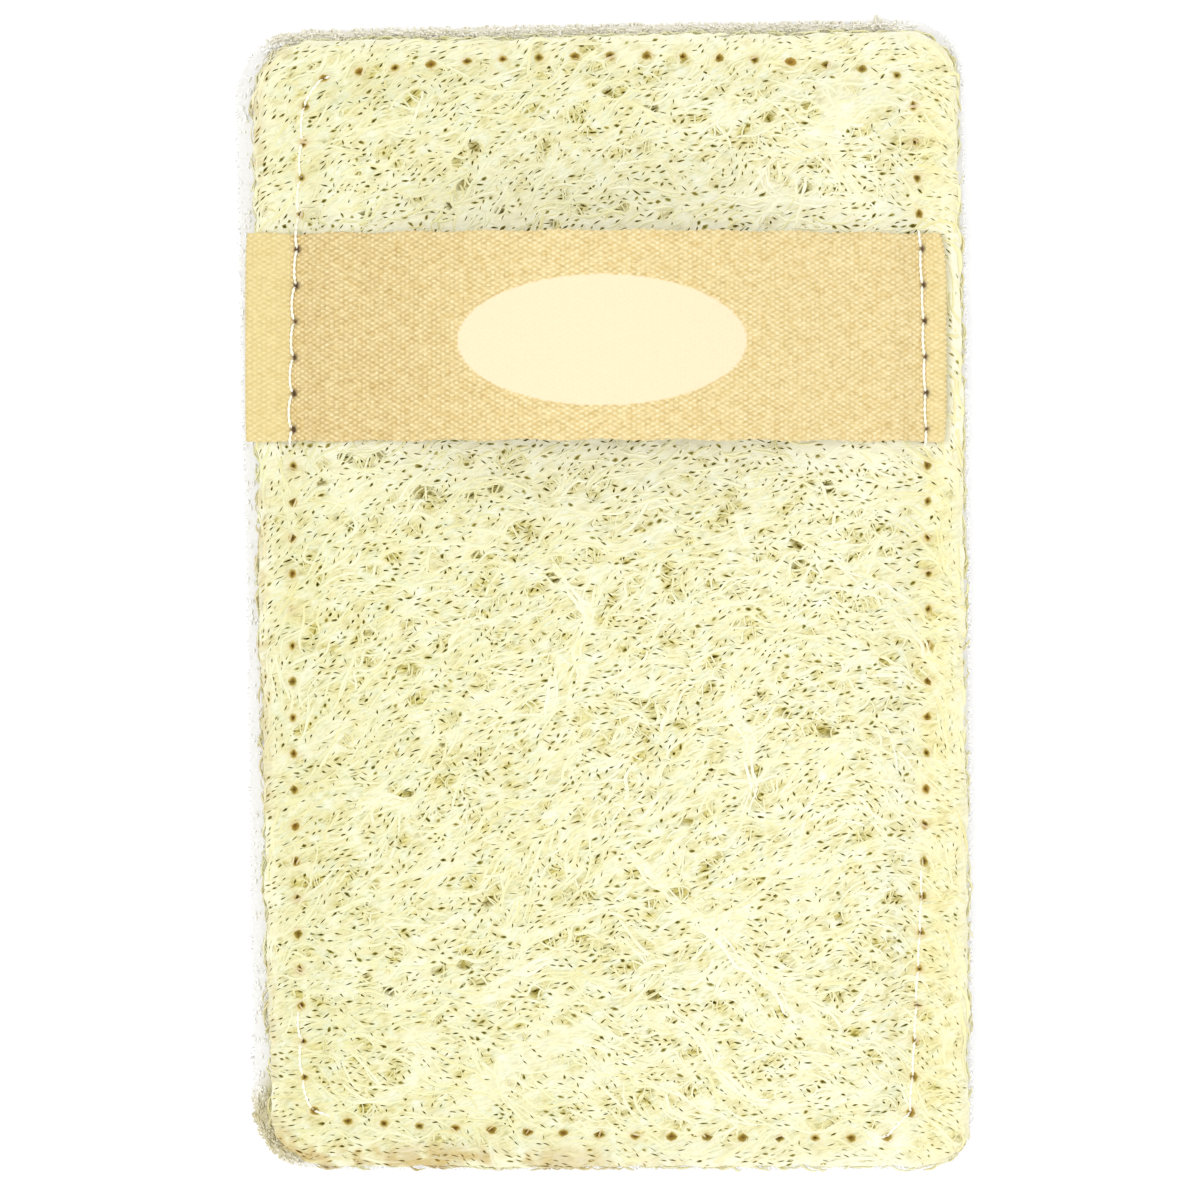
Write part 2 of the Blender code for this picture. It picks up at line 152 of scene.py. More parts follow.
def to_linear(code):
    """sRGB hex to linear: c / 12.92 up to 0.04045, else ((c + 0.055) / 1.055) ^ 2.4."""
    part = np.array([int(code[i : i + 2], 16) / 255 for i in (0, 2, 4)])
    bright = ((part + 0.055) / 1.055) ** 2.4
    return (*np.where(part <= 0.04045, part / 12.92, bright).tolist(), 1.0)


def rounded_path(corners):
    """Closed path: an arc at each corner, and sides that bow out by 4 bow s (1 - s)."""
    places = np.array([corner[:2] for corner in corners])
    into = places - np.roll(places, 1, axis=0)
    into /= np.linalg.norm(into, axis=1)[:, None]
    out = np.roll(into, -1, axis=0)
    arcs = []
    for here, before, after, (_, _, radius, _) in zip(places, into, out, corners):
        turn = math.acos(float(before @ after))
        left = np.array([-before[1], before[0]])
        centre = here - before * radius * math.tan(turn / 2) + left * radius
        angle = np.linspace(0, turn, ARC_POINTS)[:, None]
        arcs.append(centre + radius * (np.sin(angle) * before - np.cos(angle) * left))
    pieces = []
    for index, arc in enumerate(arcs):
        start = arc[-1]
        end = arcs[(index + 1) % len(arcs)][0]
        outward = np.array([out[index][1], -out[index][0]])
        share = np.linspace(0, 1, SIDE_POINTS)[1:-1, None]
        bow = 4 * corners[index][3] * share * (1 - share)
        pieces += [arc, start + (end - start) * share + outward * bow]
    return np.vstack(pieces)


def spaced(path, count, phase=0.0):
    """Points at even distances round a closed path, and the unit direction ahead at each."""
    steps = np.linalg.norm(np.roll(path, -1, axis=0) - path, axis=1)
    reached = np.concatenate([[0], np.cumsum(steps)])
    closed = np.vstack([path, path[:1]])

    def at(distance):
        """Points at each distance along the path."""
        distance = distance % reached[-1]
        return np.column_stack([np.interp(distance, reached, closed[:, axis]) for axis in (0, 1)])

    where = (np.arange(count) + phase) * reached[-1] / count
    ahead = at(where + 0.5) - at(where - 0.5)
    return at(where), ahead / np.linalg.norm(ahead, axis=1)[:, None]


def distance_to(points, loop):
    """Distance from each point to a closed loop, positive inside it by the crossings of a ray along +x."""
    start = loop[None]
    side = np.roll(loop, -1, axis=0)[None] - start
    result = []
    for part in np.array_split(points, max(1, len(points) // 4000)):
        away = part[:, None] - start
        share = np.clip((away * side).sum(-1) / (side * side).sum(-1), 0, 1)
        nearest = np.linalg.norm(away - share[..., None] * side, axis=-1).min(axis=1)
        rise = np.where(side[..., 1] == 0, 1, side[..., 1])
        spans = (away[..., 1] < 0) != (away[..., 1] < side[..., 1])
        crossings = spans & (away[..., 0] < away[..., 1] / rise * side[..., 0])
        result.append(np.where(crossings.sum(axis=1) % 2 == 1, nearest, -nearest))
    return np.concatenate(result)


class Chart:
    """A quantity kept on a grid over the pad, and read between its points by blending four of them.

    With ease the blend weights follow 3 t^2 - 2 t^3, so random values make a smooth noise."""

    def __init__(self, measure, step, ease=False):
        self.left = -56.0
        self.low = -86.0
        self.step = step
        self.ease = ease
        x = np.arange(self.left, -self.left + step, step)
        y = np.arange(self.low, -self.low + step, step)
        across, along = np.meshgrid(x, y)
        points = np.column_stack([across.ravel(), along.ravel()])
        self.value = measure(points).reshape(across.shape)

    def at(self, x, y):
        """The quantity at x and y, held to the grid's edge beyond it."""
        u = np.clip((x - self.left) / self.step, 0, self.value.shape[1] - 1.001)
        v = np.clip((y - self.low) / self.step, 0, self.value.shape[0] - 1.001)
        i = u.astype(int)
        j = v.astype(int)
        u = u - i
        v = v - j
        if self.ease:
            u = u * u * (3 - 2 * u)
            v = v * v * (3 - 2 * v)
        low = self.value[j, i] * (1 - u) + self.value[j, i + 1] * u
        high = self.value[j + 1, i] * (1 - u) + self.value[j + 1, i + 1] * u
        return low * (1 - v) + high * v


def noise(cell, seed):
    """Smooth noise from -1 to 1 with bumps about one cell apart."""
    draw = np.random.default_rng(seed)
    return Chart(lambda points: draw.uniform(-1, 1, len(points)), cell, ease=True)


def smooth_step(value):
    """3 t^2 - 2 t^3 of the value held between 0 and 1."""
    value = np.clip(value, 0, 1)
    return value * value * (3 - 2 * value)


SEAM_PATH = rounded_path(SEAM_CORNERS)
SEAM_LOOP = spaced(SEAM_PATH, 2 * STITCHES)[0]
STATIONS, AHEAD = spaced(SEAM_PATH, STITCHES, STITCH_PHASE)
SEAM_DEPTH = Chart(lambda points: distance_to(points, SEAM_LOOP), 0.75)
LOOFAH_LOOP = spaced(rounded_path(LOOFAH_CORNERS), 420)[0]
EDGE_DEPTH = Chart(lambda points: distance_to(points, LOOFAH_LOOP), 0.75)
BROAD_NOISE = noise(13.0, 11)
MIDDLE_NOISE = noise(5.5, 12)
SMALL_NOISE = noise(2.2, 13)
FINE_NOISE = noise(0.9, 14)
RAGGED_NOISE = noise(2.6, 15)
WINDOW_NOISE = noise(1.0, 16)
VEIN_NOISE = noise(1.0, 17)


def sheet_level(x, y):
    """Top of the pressed sheet without its fibres, in mm.

    seam + (full - seam) (1 - exp(-(d / shoulder)^2)) at depth d inside the seam, the same to the margin
    outside it, plus a swell of sines inside."""
    depth = SEAM_DEPTH.at(x, y)
    rise_inside = (LOOFAH_FULL - LOOFAH_SEAM) * (1 - np.exp(-((depth / SHOULDER_INSIDE) ** 2)))
    rise_outside = (LOOFAH_MARGIN - LOOFAH_SEAM) * (1 - np.exp(-((depth / SHOULDER_OUTSIDE) ** 2)))
    wave = 2 * math.pi / SWELL_LENGTH
    swell = SWELL * np.sin(wave * x + 1) * np.sin(wave * y)
    full = np.clip(depth / (2 * SHOULDER_INSIDE), 0, 1)
    return LOOFAH_BOTTOM + LOOFAH_SEAM + np.where(depth > 0, rise_inside, rise_outside) + swell * full


def strap_underside(x):
    """Height of the band's underside: the larger of the sheet below it and an arch between the seams.

    The arch is low + (crown - low) sin(pi s)^1.1. The two blend as 0.4 log(exp(a / 0.4) + exp(b / 0.4))."""
    rows = np.linspace(STRAP_BOTTOM, STRAP_TOP, 9)
    level = sheet_level(x[..., None] + 0 * rows, rows + 0 * x[..., None]).max(axis=-1)
    rest = level + STRAP_GAP + 0.1
    span = np.clip((x - ARCH_LEFT) / ARCH_SPAN, 0, 1)
    low = LOOFAH_BOTTOM + LOOFAH_SEAM + STRAP_GAP
    arch = low + (STRAP_CROWN - low) * np.sin(math.pi * span) ** STRAP_ARCH_POWER
    top = np.maximum(rest, arch)
    spread = np.exp((rest - top) / STRAP_SOFTNESS) + np.exp((arch - top) / STRAP_SOFTNESS)
    return top + STRAP_SOFTNESS * np.log(spread)


def heading(x, y):
    """Way the fibres run, in radians.

    26 degrees less 0.15 a mm across, steeper by 34 exp(-(x + 49) / 8) at the left edge, falling by
    75 exp((x - 50) / 9) at the right edge and by 50 degrees at the lower left, plus smooth noise."""
    degrees = 26 - 0.15 * x
    degrees = degrees + 34 * np.exp(-(x + 49) / 8) - 75 * np.exp((x - 50) / 9)
    degrees = degrees - 50 * smooth_step((-46 - y) / 22) * (1 - 0.7 * smooth_step((x - 5) / 20))
    wild = 0.6 + 0.4 * smooth_step((x + 10) / 30)
    degrees = degrees + 14 * BROAD_NOISE.at(x, y) + 46 * wild * MIDDLE_NOISE.at(x, y)
    degrees = degrees + 24 * wild * SMALL_NOISE.at(x, y)
    return np.radians(degrees)


GRAIN_TURN = math.radians(24)


def with_grain(x, y):
    """Coordinates turned so that the first runs along the fibres and the second across them."""
    cos, sin = math.cos(GRAIN_TURN), math.sin(GRAIN_TURN)
    return x * cos + y * sin, y * cos - x * sin


def distance_to_veins(points):
    """Distance to the nearest straight piece of a measured vein."""
    starts = np.array([start for vein in VEINS for start in vein[:-1]])
    ends = np.array([end for vein in VEINS for end in vein[1:]])
    side = ends - starts
    away = points[:, None] - starts[None]
    share = np.clip((away * side).sum(-1) / (side * side).sum(-1), 0, 1)
    return np.linalg.norm(away - share[..., None] * side, axis=-1).min(axis=1)


VEIN_DISTANCE = Chart(distance_to_veins, 0.4)


def vein_at(x, y):
    """White veins, 0 to 1: the measured ones, about 1.2 mm wide, at 0.45, and fainter ones where a stretched
    noise is near 0."""
    measured = 0.45 * smooth_step((0.75 + 0.45 * FINE_NOISE.at(x, y) - VEIN_DISTANCE.at(x, y)) / 0.6)
    u, v = with_grain(x, y)
    u = u + 1.2 * SMALL_NOISE.at(x, y)
    broad = smooth_step(1.3 - np.abs(VEIN_NOISE.at(u / 7, v / 3.2)) / 0.11)
    narrow = smooth_step(1.3 - np.abs(VEIN_NOISE.at(v / 2.6 + 9, u / 4.4 - 7)) / 0.12)
    return np.maximum(measured, np.maximum(0.3 * broad, 0.25 * narrow))


def window_places():
    """Pits and smaller windows: x, y, half length, half width, turn and how open each is.

    Small windows are 1000 random ones, less those on a vein or within 1.5 mm of the cut edge. Their half
    length is 0.55 + r^1.5 with r random from 0 to 1, and their half width 0.4 to 0.75 of it. They lie along
    the heading, give or take 17 degrees."""
    draw = np.random.default_rng(SEED + 1)
    count = 1000
    x = draw.uniform(-48, 50, count)
    y = draw.uniform(-78, 77, count)
    long = 0.55 + 1.0 * draw.uniform(0, 1, count) ** 1.5
    wide = long * draw.uniform(0.4, 0.75, count)
    turn = heading(x, y) + draw.normal(0, 0.3, count)
    keep = (EDGE_DEPTH.at(x, y) > 1.5) & (vein_at(x, y) < 0.3)
    small = np.column_stack([x, y, long, wide, turn, draw.uniform(0.5, 1.0, count)])[keep]
    pits = np.array([(px, py, a, b, math.radians(way), 1.0) for px, py, a, b, way in PITS])
    return np.vstack([pits, small])


WINDOW_PLACES = window_places()


def parting_places():
    """What the fibres part round: x, y, radius and how open it is. Pits, small windows and needle holes.

    A pit or window is two discs at 0.45 of its half length either way from its middle."""
    rows = np.repeat(WINDOW_PLACES, 2, axis=0)
    side = np.tile([-0.45, 0.45], len(rows) // 2) * rows[:, 2]
    discs = np.column_stack(
        [
            rows[:, 0] + side * np.cos(rows[:, 4]),
            rows[:, 1] + side * np.sin(rows[:, 4]),
            0.36 * (rows[:, 2] + rows[:, 3]),
            rows[:, 5],
        ]
    )
    holes = np.column_stack([STATIONS, np.full(STITCHES, 0.6), np.zeros(STITCHES)])
    return np.vstack([discs, holes])


FIELD_STEP = 0.25


def make_fields():
    """Charts of the fibres' direction, of the push out of a parting, and of the windows.

    Near a parting the direction d turns as water does round a post: d - (a / r)^2 (2 (d . u) u - d), with u
    the unit vector from it. A point inside it is pushed out to 0.25 mm from its rim. A window's share falls
    from all to none between 0.85 and 1.2 of its radius."""
    blank = Chart(lambda points: np.zeros(len(points)), FIELD_STEP)
    height, width = blank.value.shape
    x = blank.left + FIELD_STEP * np.arange(width)[None] + np.zeros((height, 1))
    y = blank.low + FIELD_STEP * np.arange(height)[:, None] + np.zeros((1, width))
    angle = heading(x, y)
    way = np.stack([np.cos(angle), np.sin(angle)], axis=2)
    turned = way.copy()
    push = np.zeros_like(way)
    window = np.zeros_like(x)
    for px, py, radius, strength in parting_places():
        column = int((px - blank.left) / FIELD_STEP)
        row = int((py - blank.low) / FIELD_STEP)
        reach = int(4 * radius / FIELD_STEP) + 1
        here = tuple(slice(max(at - reach, 0), at + reach + 1) for at in (row, column))
        away = np.stack([x[here] - px, y[here] - py], axis=2)
        square = (away**2).sum(axis=2) + 1e-4
        pull = np.minimum(np.where(square < 16 * radius**2, radius**2 / square, 0), 1.0)
        along = (away * way[here]).sum(axis=2) / square
        turned[here] -= pull[..., None] * (2 * along[..., None] * away - way[here])
        gap = np.sqrt(square)
        push[here] += away * np.maximum((radius + 0.25) / np.maximum(gap, 0.1) - 1, 0)[..., None]
        window[here] = np.maximum(window[here], strength * smooth_step((1.2 - gap / radius) / 0.35))
    turned /= np.linalg.norm(turned, axis=2)[..., None] + 1e-6
    layers = (turned[..., 0], turned[..., 1], push[..., 0], push[..., 1], window)
    return [Chart(lambda points, value=value: value.ravel(), FIELD_STEP) for value in layers]


WAY_X, WAY_Y, PUSH_X, PUSH_Y, WINDOW = make_fields()


def window_at(x, y):
    """Windows between the fibres, 0 to 1, with faint stretched patches between them."""
    u, v = with_grain(x, y)
    level = WINDOW_NOISE.at(u / 1.5, v) + 0.4 * FINE_NOISE.at(x, -y)
    faint = 0.25 * smooth_step((level + 0.02) / 0.3) * (1 - smooth_step(vein_at(x, y) * 1.6))
    return np.maximum(WINDOW.at(x, y), faint)


def felt_level(x, y, drop=0.12):
    """Top of the felt: sheet + share (bumps - drop window + 0.25 vein - 0.2), with share the sheet's
    thickness over its full one, and bumps of noise up to 0.16 mm."""
    share = np.clip((sheet_level(x, y) - LOOFAH_BOTTOM) / LOOFAH_FULL, 0.35, 1)
    bumps = 0.09 * SMALL_NOISE.at(x, y) + 0.07 * FINE_NOISE.at(x, y)
    relief = bumps - drop * window_at(x, y) + 0.25 * vein_at(x, y)
    return sheet_level(x, y) + share * (relief - 0.2)


def held_inside(x, y, inset):
    """Points nearer to the cut edge than their inset moved back along the edge's inward direction."""
    depth = EDGE_DEPTH.at(x, y)
    slope_x = EDGE_DEPTH.at(x + 0.8, y) - EDGE_DEPTH.at(x - 0.8, y)
    slope_y = EDGE_DEPTH.at(x, y + 0.8) - EDGE_DEPTH.at(x, y - 0.8)
    size = np.hypot(slope_x, slope_y) + 1e-6
    short = np.maximum(inset - depth, 0)
    return x + short * slope_x / size, y + short * slope_y / size


def seeds(draw, count):
    """Even but unruly starting places: a jittered grid over the sheet, with half left out under the band."""
    cell = math.sqrt(98 * 158 / count)
    across, along = np.meshgrid(np.arange(-49, 51, cell), np.arange(-79, 79, cell))
    x = across.ravel() + draw.uniform(-0.7, 0.7, across.size) * cell
    y = along.ravel() + draw.uniform(-0.7, 0.7, across.size) * cell
    covered = (y > STRAP_BOTTOM + 3) & (y < STRAP_TOP - 3) & (np.abs(x) < 36)
    keep = (EDGE_DEPTH.at(x, y) > 0.2) & ~(covered & (draw.uniform(0, 1, len(x)) < 0.5))
    return x[keep], y[keep]


def laid_paths(draw, x, y, length, stations, turn, bend, part, inset):
    """Paths of fibres that follow the heading, n by stations by 2.

    From each seed the path steps both ways by length / stations along the field turned by its own turn and
    bend, or along the plain heading where part is false, and is pushed out of the partings."""
    step = length / (stations - 1)
    ways = []
    for sign in (-1, 1):
        px = x.copy()
        py = y.copy()
        line = []
        for index in range((stations - 1) // 2 + (sign > 0) * ((stations - 1) % 2)):
            angle = np.arctan2(WAY_Y.at(px, py), WAY_X.at(px, py)) if part else heading(px, py)
            angle = angle + turn + bend * sign * (index + 0.5) * step
            px = px + sign * step * np.cos(angle)
            py = py + sign * step * np.sin(angle)
            if part:
                px, py = px + PUSH_X.at(px, py), py + PUSH_Y.at(px, py)
            line.append(np.column_stack([px, py]))
        ways.append(line)
    points = ways[0][::-1] + [np.column_stack([x, y])] + ways[1]
    path = np.stack(points, axis=1)
    for _ in range(2):
        path[:, 1:-1] = (path[:, :-2] + 2 * path[:, 1:-1] + path[:, 2:]) / 4
    flat_x, flat_y = path[..., 0].ravel(), path[..., 1].ravel()
    for _ in range(3):
        flat_x, flat_y = held_inside(flat_x, flat_y, np.repeat(inset, stations))
    return np.stack([flat_x.reshape(path.shape[:2]), flat_y.reshape(path.shape[:2])], axis=-1)


def tube_points(path, half_width, half_height, sides, lift):
    """Rings of points round each path: p + cos(a) w s + sin(a) h u, with s level and u square to both.

    The first and last points of a path are its tips. Gives n by (rings x sides + 2) by 3."""
    ahead = np.gradient(path, axis=1)
    ahead /= np.linalg.norm(ahead, axis=2)[..., None] + 1e-9
    side = np.cross(lift, ahead)
    side /= np.linalg.norm(side, axis=2)[..., None] + 1e-9
    up = np.cross(ahead, side)
    angle = math.pi / 2 + np.arange(sides) * 2 * math.pi / sides
    inner = slice(1, -1)
    ring = (
        path[:, inner, None]
        + np.cos(angle)[:, None] * (half_width[:, inner, None, None] * side[:, inner, None])
        + np.sin(angle)[:, None] * (half_height[:, inner, None, None] * up[:, inner, None])
    )
    count = len(path)
    body = ring.reshape(count, -1, 3)
    return np.concatenate([body, path[:, :1], path[:, -1:]], axis=1)


def tube_faces(count, stations, sides):
    """Triangles of tube_points: two for each side between rings, and a fan to each tip."""
    rings = stations - 2
    ring, corner = np.meshgrid(np.arange(rings - 1), np.arange(sides), indexing="ij")
    here = (ring * sides + corner).ravel()
    beside = (ring * sides + (corner + 1) % sides).ravel()
    walls = np.concatenate(
        [
            np.column_stack([here, here + sides, beside]),
            np.column_stack([beside, here + sides, beside + sides]),
        ]
    )
    corner = np.arange(sides)
    after = (corner + 1) % sides
    last = (rings - 1) * sides
    start = np.column_stack([np.full(sides, rings * sides), corner, after])
    end = np.column_stack([np.full(sides, rings * sides + 1), last + after, last + corner])
    one = np.concatenate([walls, start, end])[:, ::-1]
    size = rings * sides + 2
    return (one[None] + (np.arange(count) * size)[:, None, None]).reshape(-1, 3)


def tube_values(values, sides):
    """One value a path point spread over the points of tube_points."""
    inner = np.repeat(values[:, 1:-1], sides, axis=1)
    return np.concatenate([inner, values[:, :1], values[:, -1:]], axis=1).ravel()


LIP_ANGLE = math.radians(32)
UP = np.array([0.0, 0.0, 1.0])


def make_piece(name, points, faces, material, replaces, values=None, uv=None, crease=None, smooth=True):
    """A mesh from points in mm and triangles, riding on the pad and standing for its node.

    Values are kept as attributes of its points. With a crease given, edges between two creased points stay
    sharp, and so do those bent past LIP_ANGLE, as at the lip of a slit."""
    mesh = bpy.data.meshes.new(name)
    mesh.vertices.add(len(points))
    mesh.vertices.foreach_set("co", (np.asarray(points) * MM).astype(np.float32).ravel())
    mesh.loops.add(faces.size)
    mesh.loops.foreach_set("vertex_index", faces.astype(np.int32).ravel())
    mesh.polygons.add(len(faces))
    mesh.polygons.foreach_set("loop_start", np.arange(0, faces.size, 3, dtype=np.int32))
    mesh.polygons.foreach_set("use_smooth", np.full(len(faces), smooth))
    for key, value in (values or {}).items():
        mesh.attributes.new(key, "FLOAT", "POINT").data.foreach_set("value", value.astype(np.float32))
    if uv is not None:
        layer = mesh.uv_layers.new(name="cloth")
        layer.data.foreach_set("uv", uv[faces.ravel()].astype(np.float32).ravel())
    mesh.update()
    if crease is not None:
        mesh.set_sharp_from_angle(angle=LIP_ANGLE)
        ends = np.empty(2 * len(mesh.edges), np.int32)
        mesh.edges.foreach_get("vertices", ends)
        sharp = np.empty(len(mesh.edges), bool)
        layer = mesh.attributes.get("sharp_edge") or mesh.attributes.new("sharp_edge", "BOOLEAN", "EDGE")
        layer.data.foreach_get("value", sharp)
        layer.data.foreach_set("value", sharp | crease[ends.reshape(-1, 2)].all(axis=1))
    mesh.validate()
    mesh.materials.append(material)
    piece = bpy.data.objects.new(name, mesh)
    bpy.context.collection.objects.link(piece)
    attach(piece, "root")
    for node in replaces:
        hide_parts(node)
    return piece


def make_strands(name, path, size, sides, material, values, node, lift=UP, smooth=False):
    """A piece of tubes round the paths, n by stations by 3. The size is their half widths and half heights,
    and each value is spread from the path points."""
    count = path.shape[:2]
    points = tube_points(path, *size, sides, lift).reshape(-1, 3)
    spread = {key: tube_values(np.broadcast_to(value, count), sides) for key, value in values.items()}
    return make_piece(name, points, tube_faces(*count, sides), material, [node], spread, smooth=smooth)


def add_node(tree, kind, settings=(), **inputs):
    """Add a node with its settings, or a ramp's stops. Each input, by name or by i and its number, is set or
    linked."""
    made = tree.nodes.new("ShaderNode" + kind)
    for key, value in dict(settings).items():
        if key != "stops":
            setattr(made, key, value)
            continue
        bar = made.color_ramp.elements
        while len(bar) < len(value):
            bar.new(0.5)
        for element, (place, code) in zip(bar, value):
            element.position = place
            element.color = to_linear(code)
    for key, value in inputs.items():
        numbered = key[0] == "i" and key[1:].isdigit()
        socket = made.inputs[int(key[1:]) if numbered else key.replace("_", " ")]
        if isinstance(value, bpy.types.NodeSocket):
            tree.links.new(value, socket)
        else:
            socket.default_value = value
    return made


# Settings of a Mix node, whose inputs are i0 the share, i6 the first colour and i7 the second
BLEND = {"data_type": "RGBA"}
MULTIPLY = {"data_type": "RGBA", "blend_type": "MULTIPLY"}


def new_material(name, roughness, sheen=0.0, gloss=0.35, reads=()):
    """A material's tree and shader, the place on the pad in metres, and the mesh attributes that it reads."""
    material = bpy.data.materials.new(name)
    material.use_nodes = True
    tree = material.node_tree
    shader = next(node for node in tree.nodes if node.type == "BSDF_PRINCIPLED")
    shader.inputs["Roughness"].default_value = roughness
    shader.inputs["IOR"].default_value = 1.5
    shader.inputs["Specular IOR Level"].default_value = gloss
    if sheen:
        shader.inputs["Sheen Weight"].default_value = sheen
        shader.inputs["Sheen Roughness"].default_value = 0.5
    place = add_node(tree, "TexCoord").outputs["Object"]
    read = {key: add_node(tree, "Attribute", {"attribute_name": key}).outputs["Fac"] for key in reads}
    return material, tree, shader, place, read


def surface(tree, shader, colour, height, strength, depth):
    """Give the shader its colour, and a bump from the height, of that strength and depth in mm."""
    bump = add_node(tree, "Bump", Height=height, Strength=strength, Distance=depth * MM)
    tree.links.new(colour, shader.inputs["Base Color"])
    tree.links.new(bump.outputs[0], shader.inputs["Normal"])


def left_shade_and_right_warmth(tree, colour, place):
    """The colour times a ramp across X: painted shade, darker towards the left and most at its seam, and a
    warmer tint of its own in the margin on the right."""
    across = add_node(tree, "SeparateXYZ", Vector=place).outputs["X"]
    side = add_node(tree, "MapRange", Value=across, From_Min=-50.5 * MM, From_Max=50.5 * MM).outputs[0]
    stops = [(0.0, "FFFFFF"), (0.055, "F6F6EC"), (0.777, "FFFFFF"), (0.91, "FFFFFF"), (0.95, "FFFCEF")]
    shade = add_node(tree, "ValToRGB", {"stops": stops}, Fac=side).outputs[0]
    return add_node(tree, "Mix", MULTIPLY, i0=1.0, i6=colour, i7=shade).outputs[2]


def fibre_material():
    """Dried loofah fibre, retted and sun-bleached: matt cream cellulose, olive and tan where it lies deep,
    partly its own colour and partly painted shade.

    Each fibre has its own faint tint, patches 9 mm apart are yellower, and the needle holes and the soiled
    rim are brown. Its grain, 0.4 mm apart, is drawn several times coarser than real cells, so that it
    shows."""
    material, tree, shader, place, read = new_material(
        "bleached_loofah_fibre", 0.62, sheen=0.12, reads=("depth", "own", "stain")
    )
    # painted shade, with some of the fibre's own tan: the deeper the depth value, the darker the fibre
    stops = [(0.0, "F1F0D8"), (0.22, "E9E6C2"), (0.45, "DFD8A6"), (0.7, "C6B87A"), (1.0, "8F7C42")]
    colour = add_node(tree, "ValToRGB", {"stops": stops}, Fac=read["depth"]).outputs[0]
    stops = [(0.0, "FBF8E6"), (0.5, "FFFFFF"), (1.0, "F8FAF0")]
    tint = add_node(tree, "ValToRGB", {"stops": stops}, Fac=read["own"]).outputs[0]
    colour = add_node(tree, "Mix", MULTIPLY, i0=1.0, i6=colour, i7=tint).outputs[2]
    patches = add_node(tree, "TexNoise", Vector=place, Scale=0.11 / MM, Detail=2.0).outputs[0]
    stops = [(0.35, "F8F5DC"), (0.6, "FFFFFF")]
    tone = add_node(tree, "ValToRGB", {"stops": stops}, Fac=patches).outputs[0]
    colour = add_node(tree, "Mix", MULTIPLY, i0=0.7, i6=colour, i7=tone).outputs[2]
    colour = left_shade_and_right_warmth(tree, colour, place)
    colour = add_node(tree, "Mix", BLEND, i0=read["stain"], i6=colour, i7=to_linear("B48A50")).outputs[2]
    grain = add_node(tree, "TexNoise", Vector=place, Scale=2.6 / MM, Detail=2.0).outputs[0]
    surface(tree, shader, colour, grain, 0.25, 0.06)
    return material


def felt_material():
    """Pressed loofah: a felt of merged fibres, almost without gloss, golden in its windows and dark olive
    down its slits, partly its own colour and partly painted shade.

    Its mottle is 2 mm apart. Its streaks, 1.1 mm long and 0.33 mm apart, lie along the grain and stand for
    single fibres of 0.1 to 0.3 mm, which are too fine to draw one by one."""
    material, tree, shader, place, read = new_material(
        "pressed_loofah_felt", 0.75, gloss=0.08, reads=("depth", "tan", "pale", "stain")
    )
    mottle = add_node(tree, "TexNoise", Vector=place, Scale=0.48 / MM, Detail=3.0).outputs[0]
    stops = [(0.30, "D8D3A4"), (0.45, "E7E2BA"), (0.58, "E1E3C5"), (0.72, "EFEED9")]
    colour = add_node(tree, "ValToRGB", {"stops": stops}, Fac=mottle).outputs[0]
    turned = add_node(
        tree,
        "Mapping",
        {"vector_type": "TEXTURE"},
        Vector=place,
        Rotation=(0, 0, GRAIN_TURN),
        Scale=(MM / 0.9, MM / 3, MM / 0.9),
    ).outputs[0]
    streak = add_node(tree, "TexNoise", Vector=turned, Scale=1.0, Detail=2.0).outputs[0]
    stops = [(0.3, "DCDAB8"), (0.52, "FFFFFF")]
    tone = add_node(tree, "ValToRGB", {"stops": stops}, Fac=streak).outputs[0]
    colour = add_node(tree, "Mix", MULTIPLY, i0=0.6, i6=colour, i7=tone).outputs[2]
    colour = left_shade_and_right_warmth(tree, colour, place)
    stops = [(0.38, "9A8C3E"), (0.5, "C6B95E"), (0.62, "DDD590")]
    fill = add_node(tree, "ValToRGB", {"stops": stops}, Fac=streak).outputs[0]
    colour = add_node(tree, "Mix", BLEND, i0=read["tan"], i6=colour, i7=fill).outputs[2]
    # pale: white veins in their own colour, and painted light near the cut edge and beside the band
    colour = add_node(tree, "Mix", BLEND, i0=read["pale"], i6=colour, i7=to_linear("F3F2DE")).outputs[2]
    # painted shade, with some of the felt's own olive: the deeper the depth value, the darker the felt
    stops = [(0.05, "FFFFFF"), (0.09, "CFC891"), (0.24, "AEA566"), (0.55, "787038"), (1.0, "3C3214")]
    shade = add_node(tree, "ValToRGB", {"stops": stops}, Fac=read["depth"]).outputs[0]
    colour = add_node(tree, "Mix", MULTIPLY, i0=1.0, i6=colour, i7=shade).outputs[2]
    colour = add_node(tree, "Mix", BLEND, i0=read["stain"], i6=colour, i7=to_linear("B48C3E")).outputs[2]
    surface(tree, shader, colour, streak, 0.4, 0.2)
    return material


def stain_at(x, y, radius=0.75):
    """Brown round each needle hole: exp(-(r / radius)^2) from the nearest hole, times its own 0.55 to 1."""
    across = x[:, None] - STATIONS[None, :, 0]
    along = y[:, None] - STATIONS[None, :, 1]
    square = across**2 + along**2
    nearest = square.argmin(axis=1)
    strong = np.random.default_rng(SEED + 5).uniform(0.55, 1.0, STITCHES)[nearest]
    return strong * np.exp(-square.min(axis=1) / radius**2)


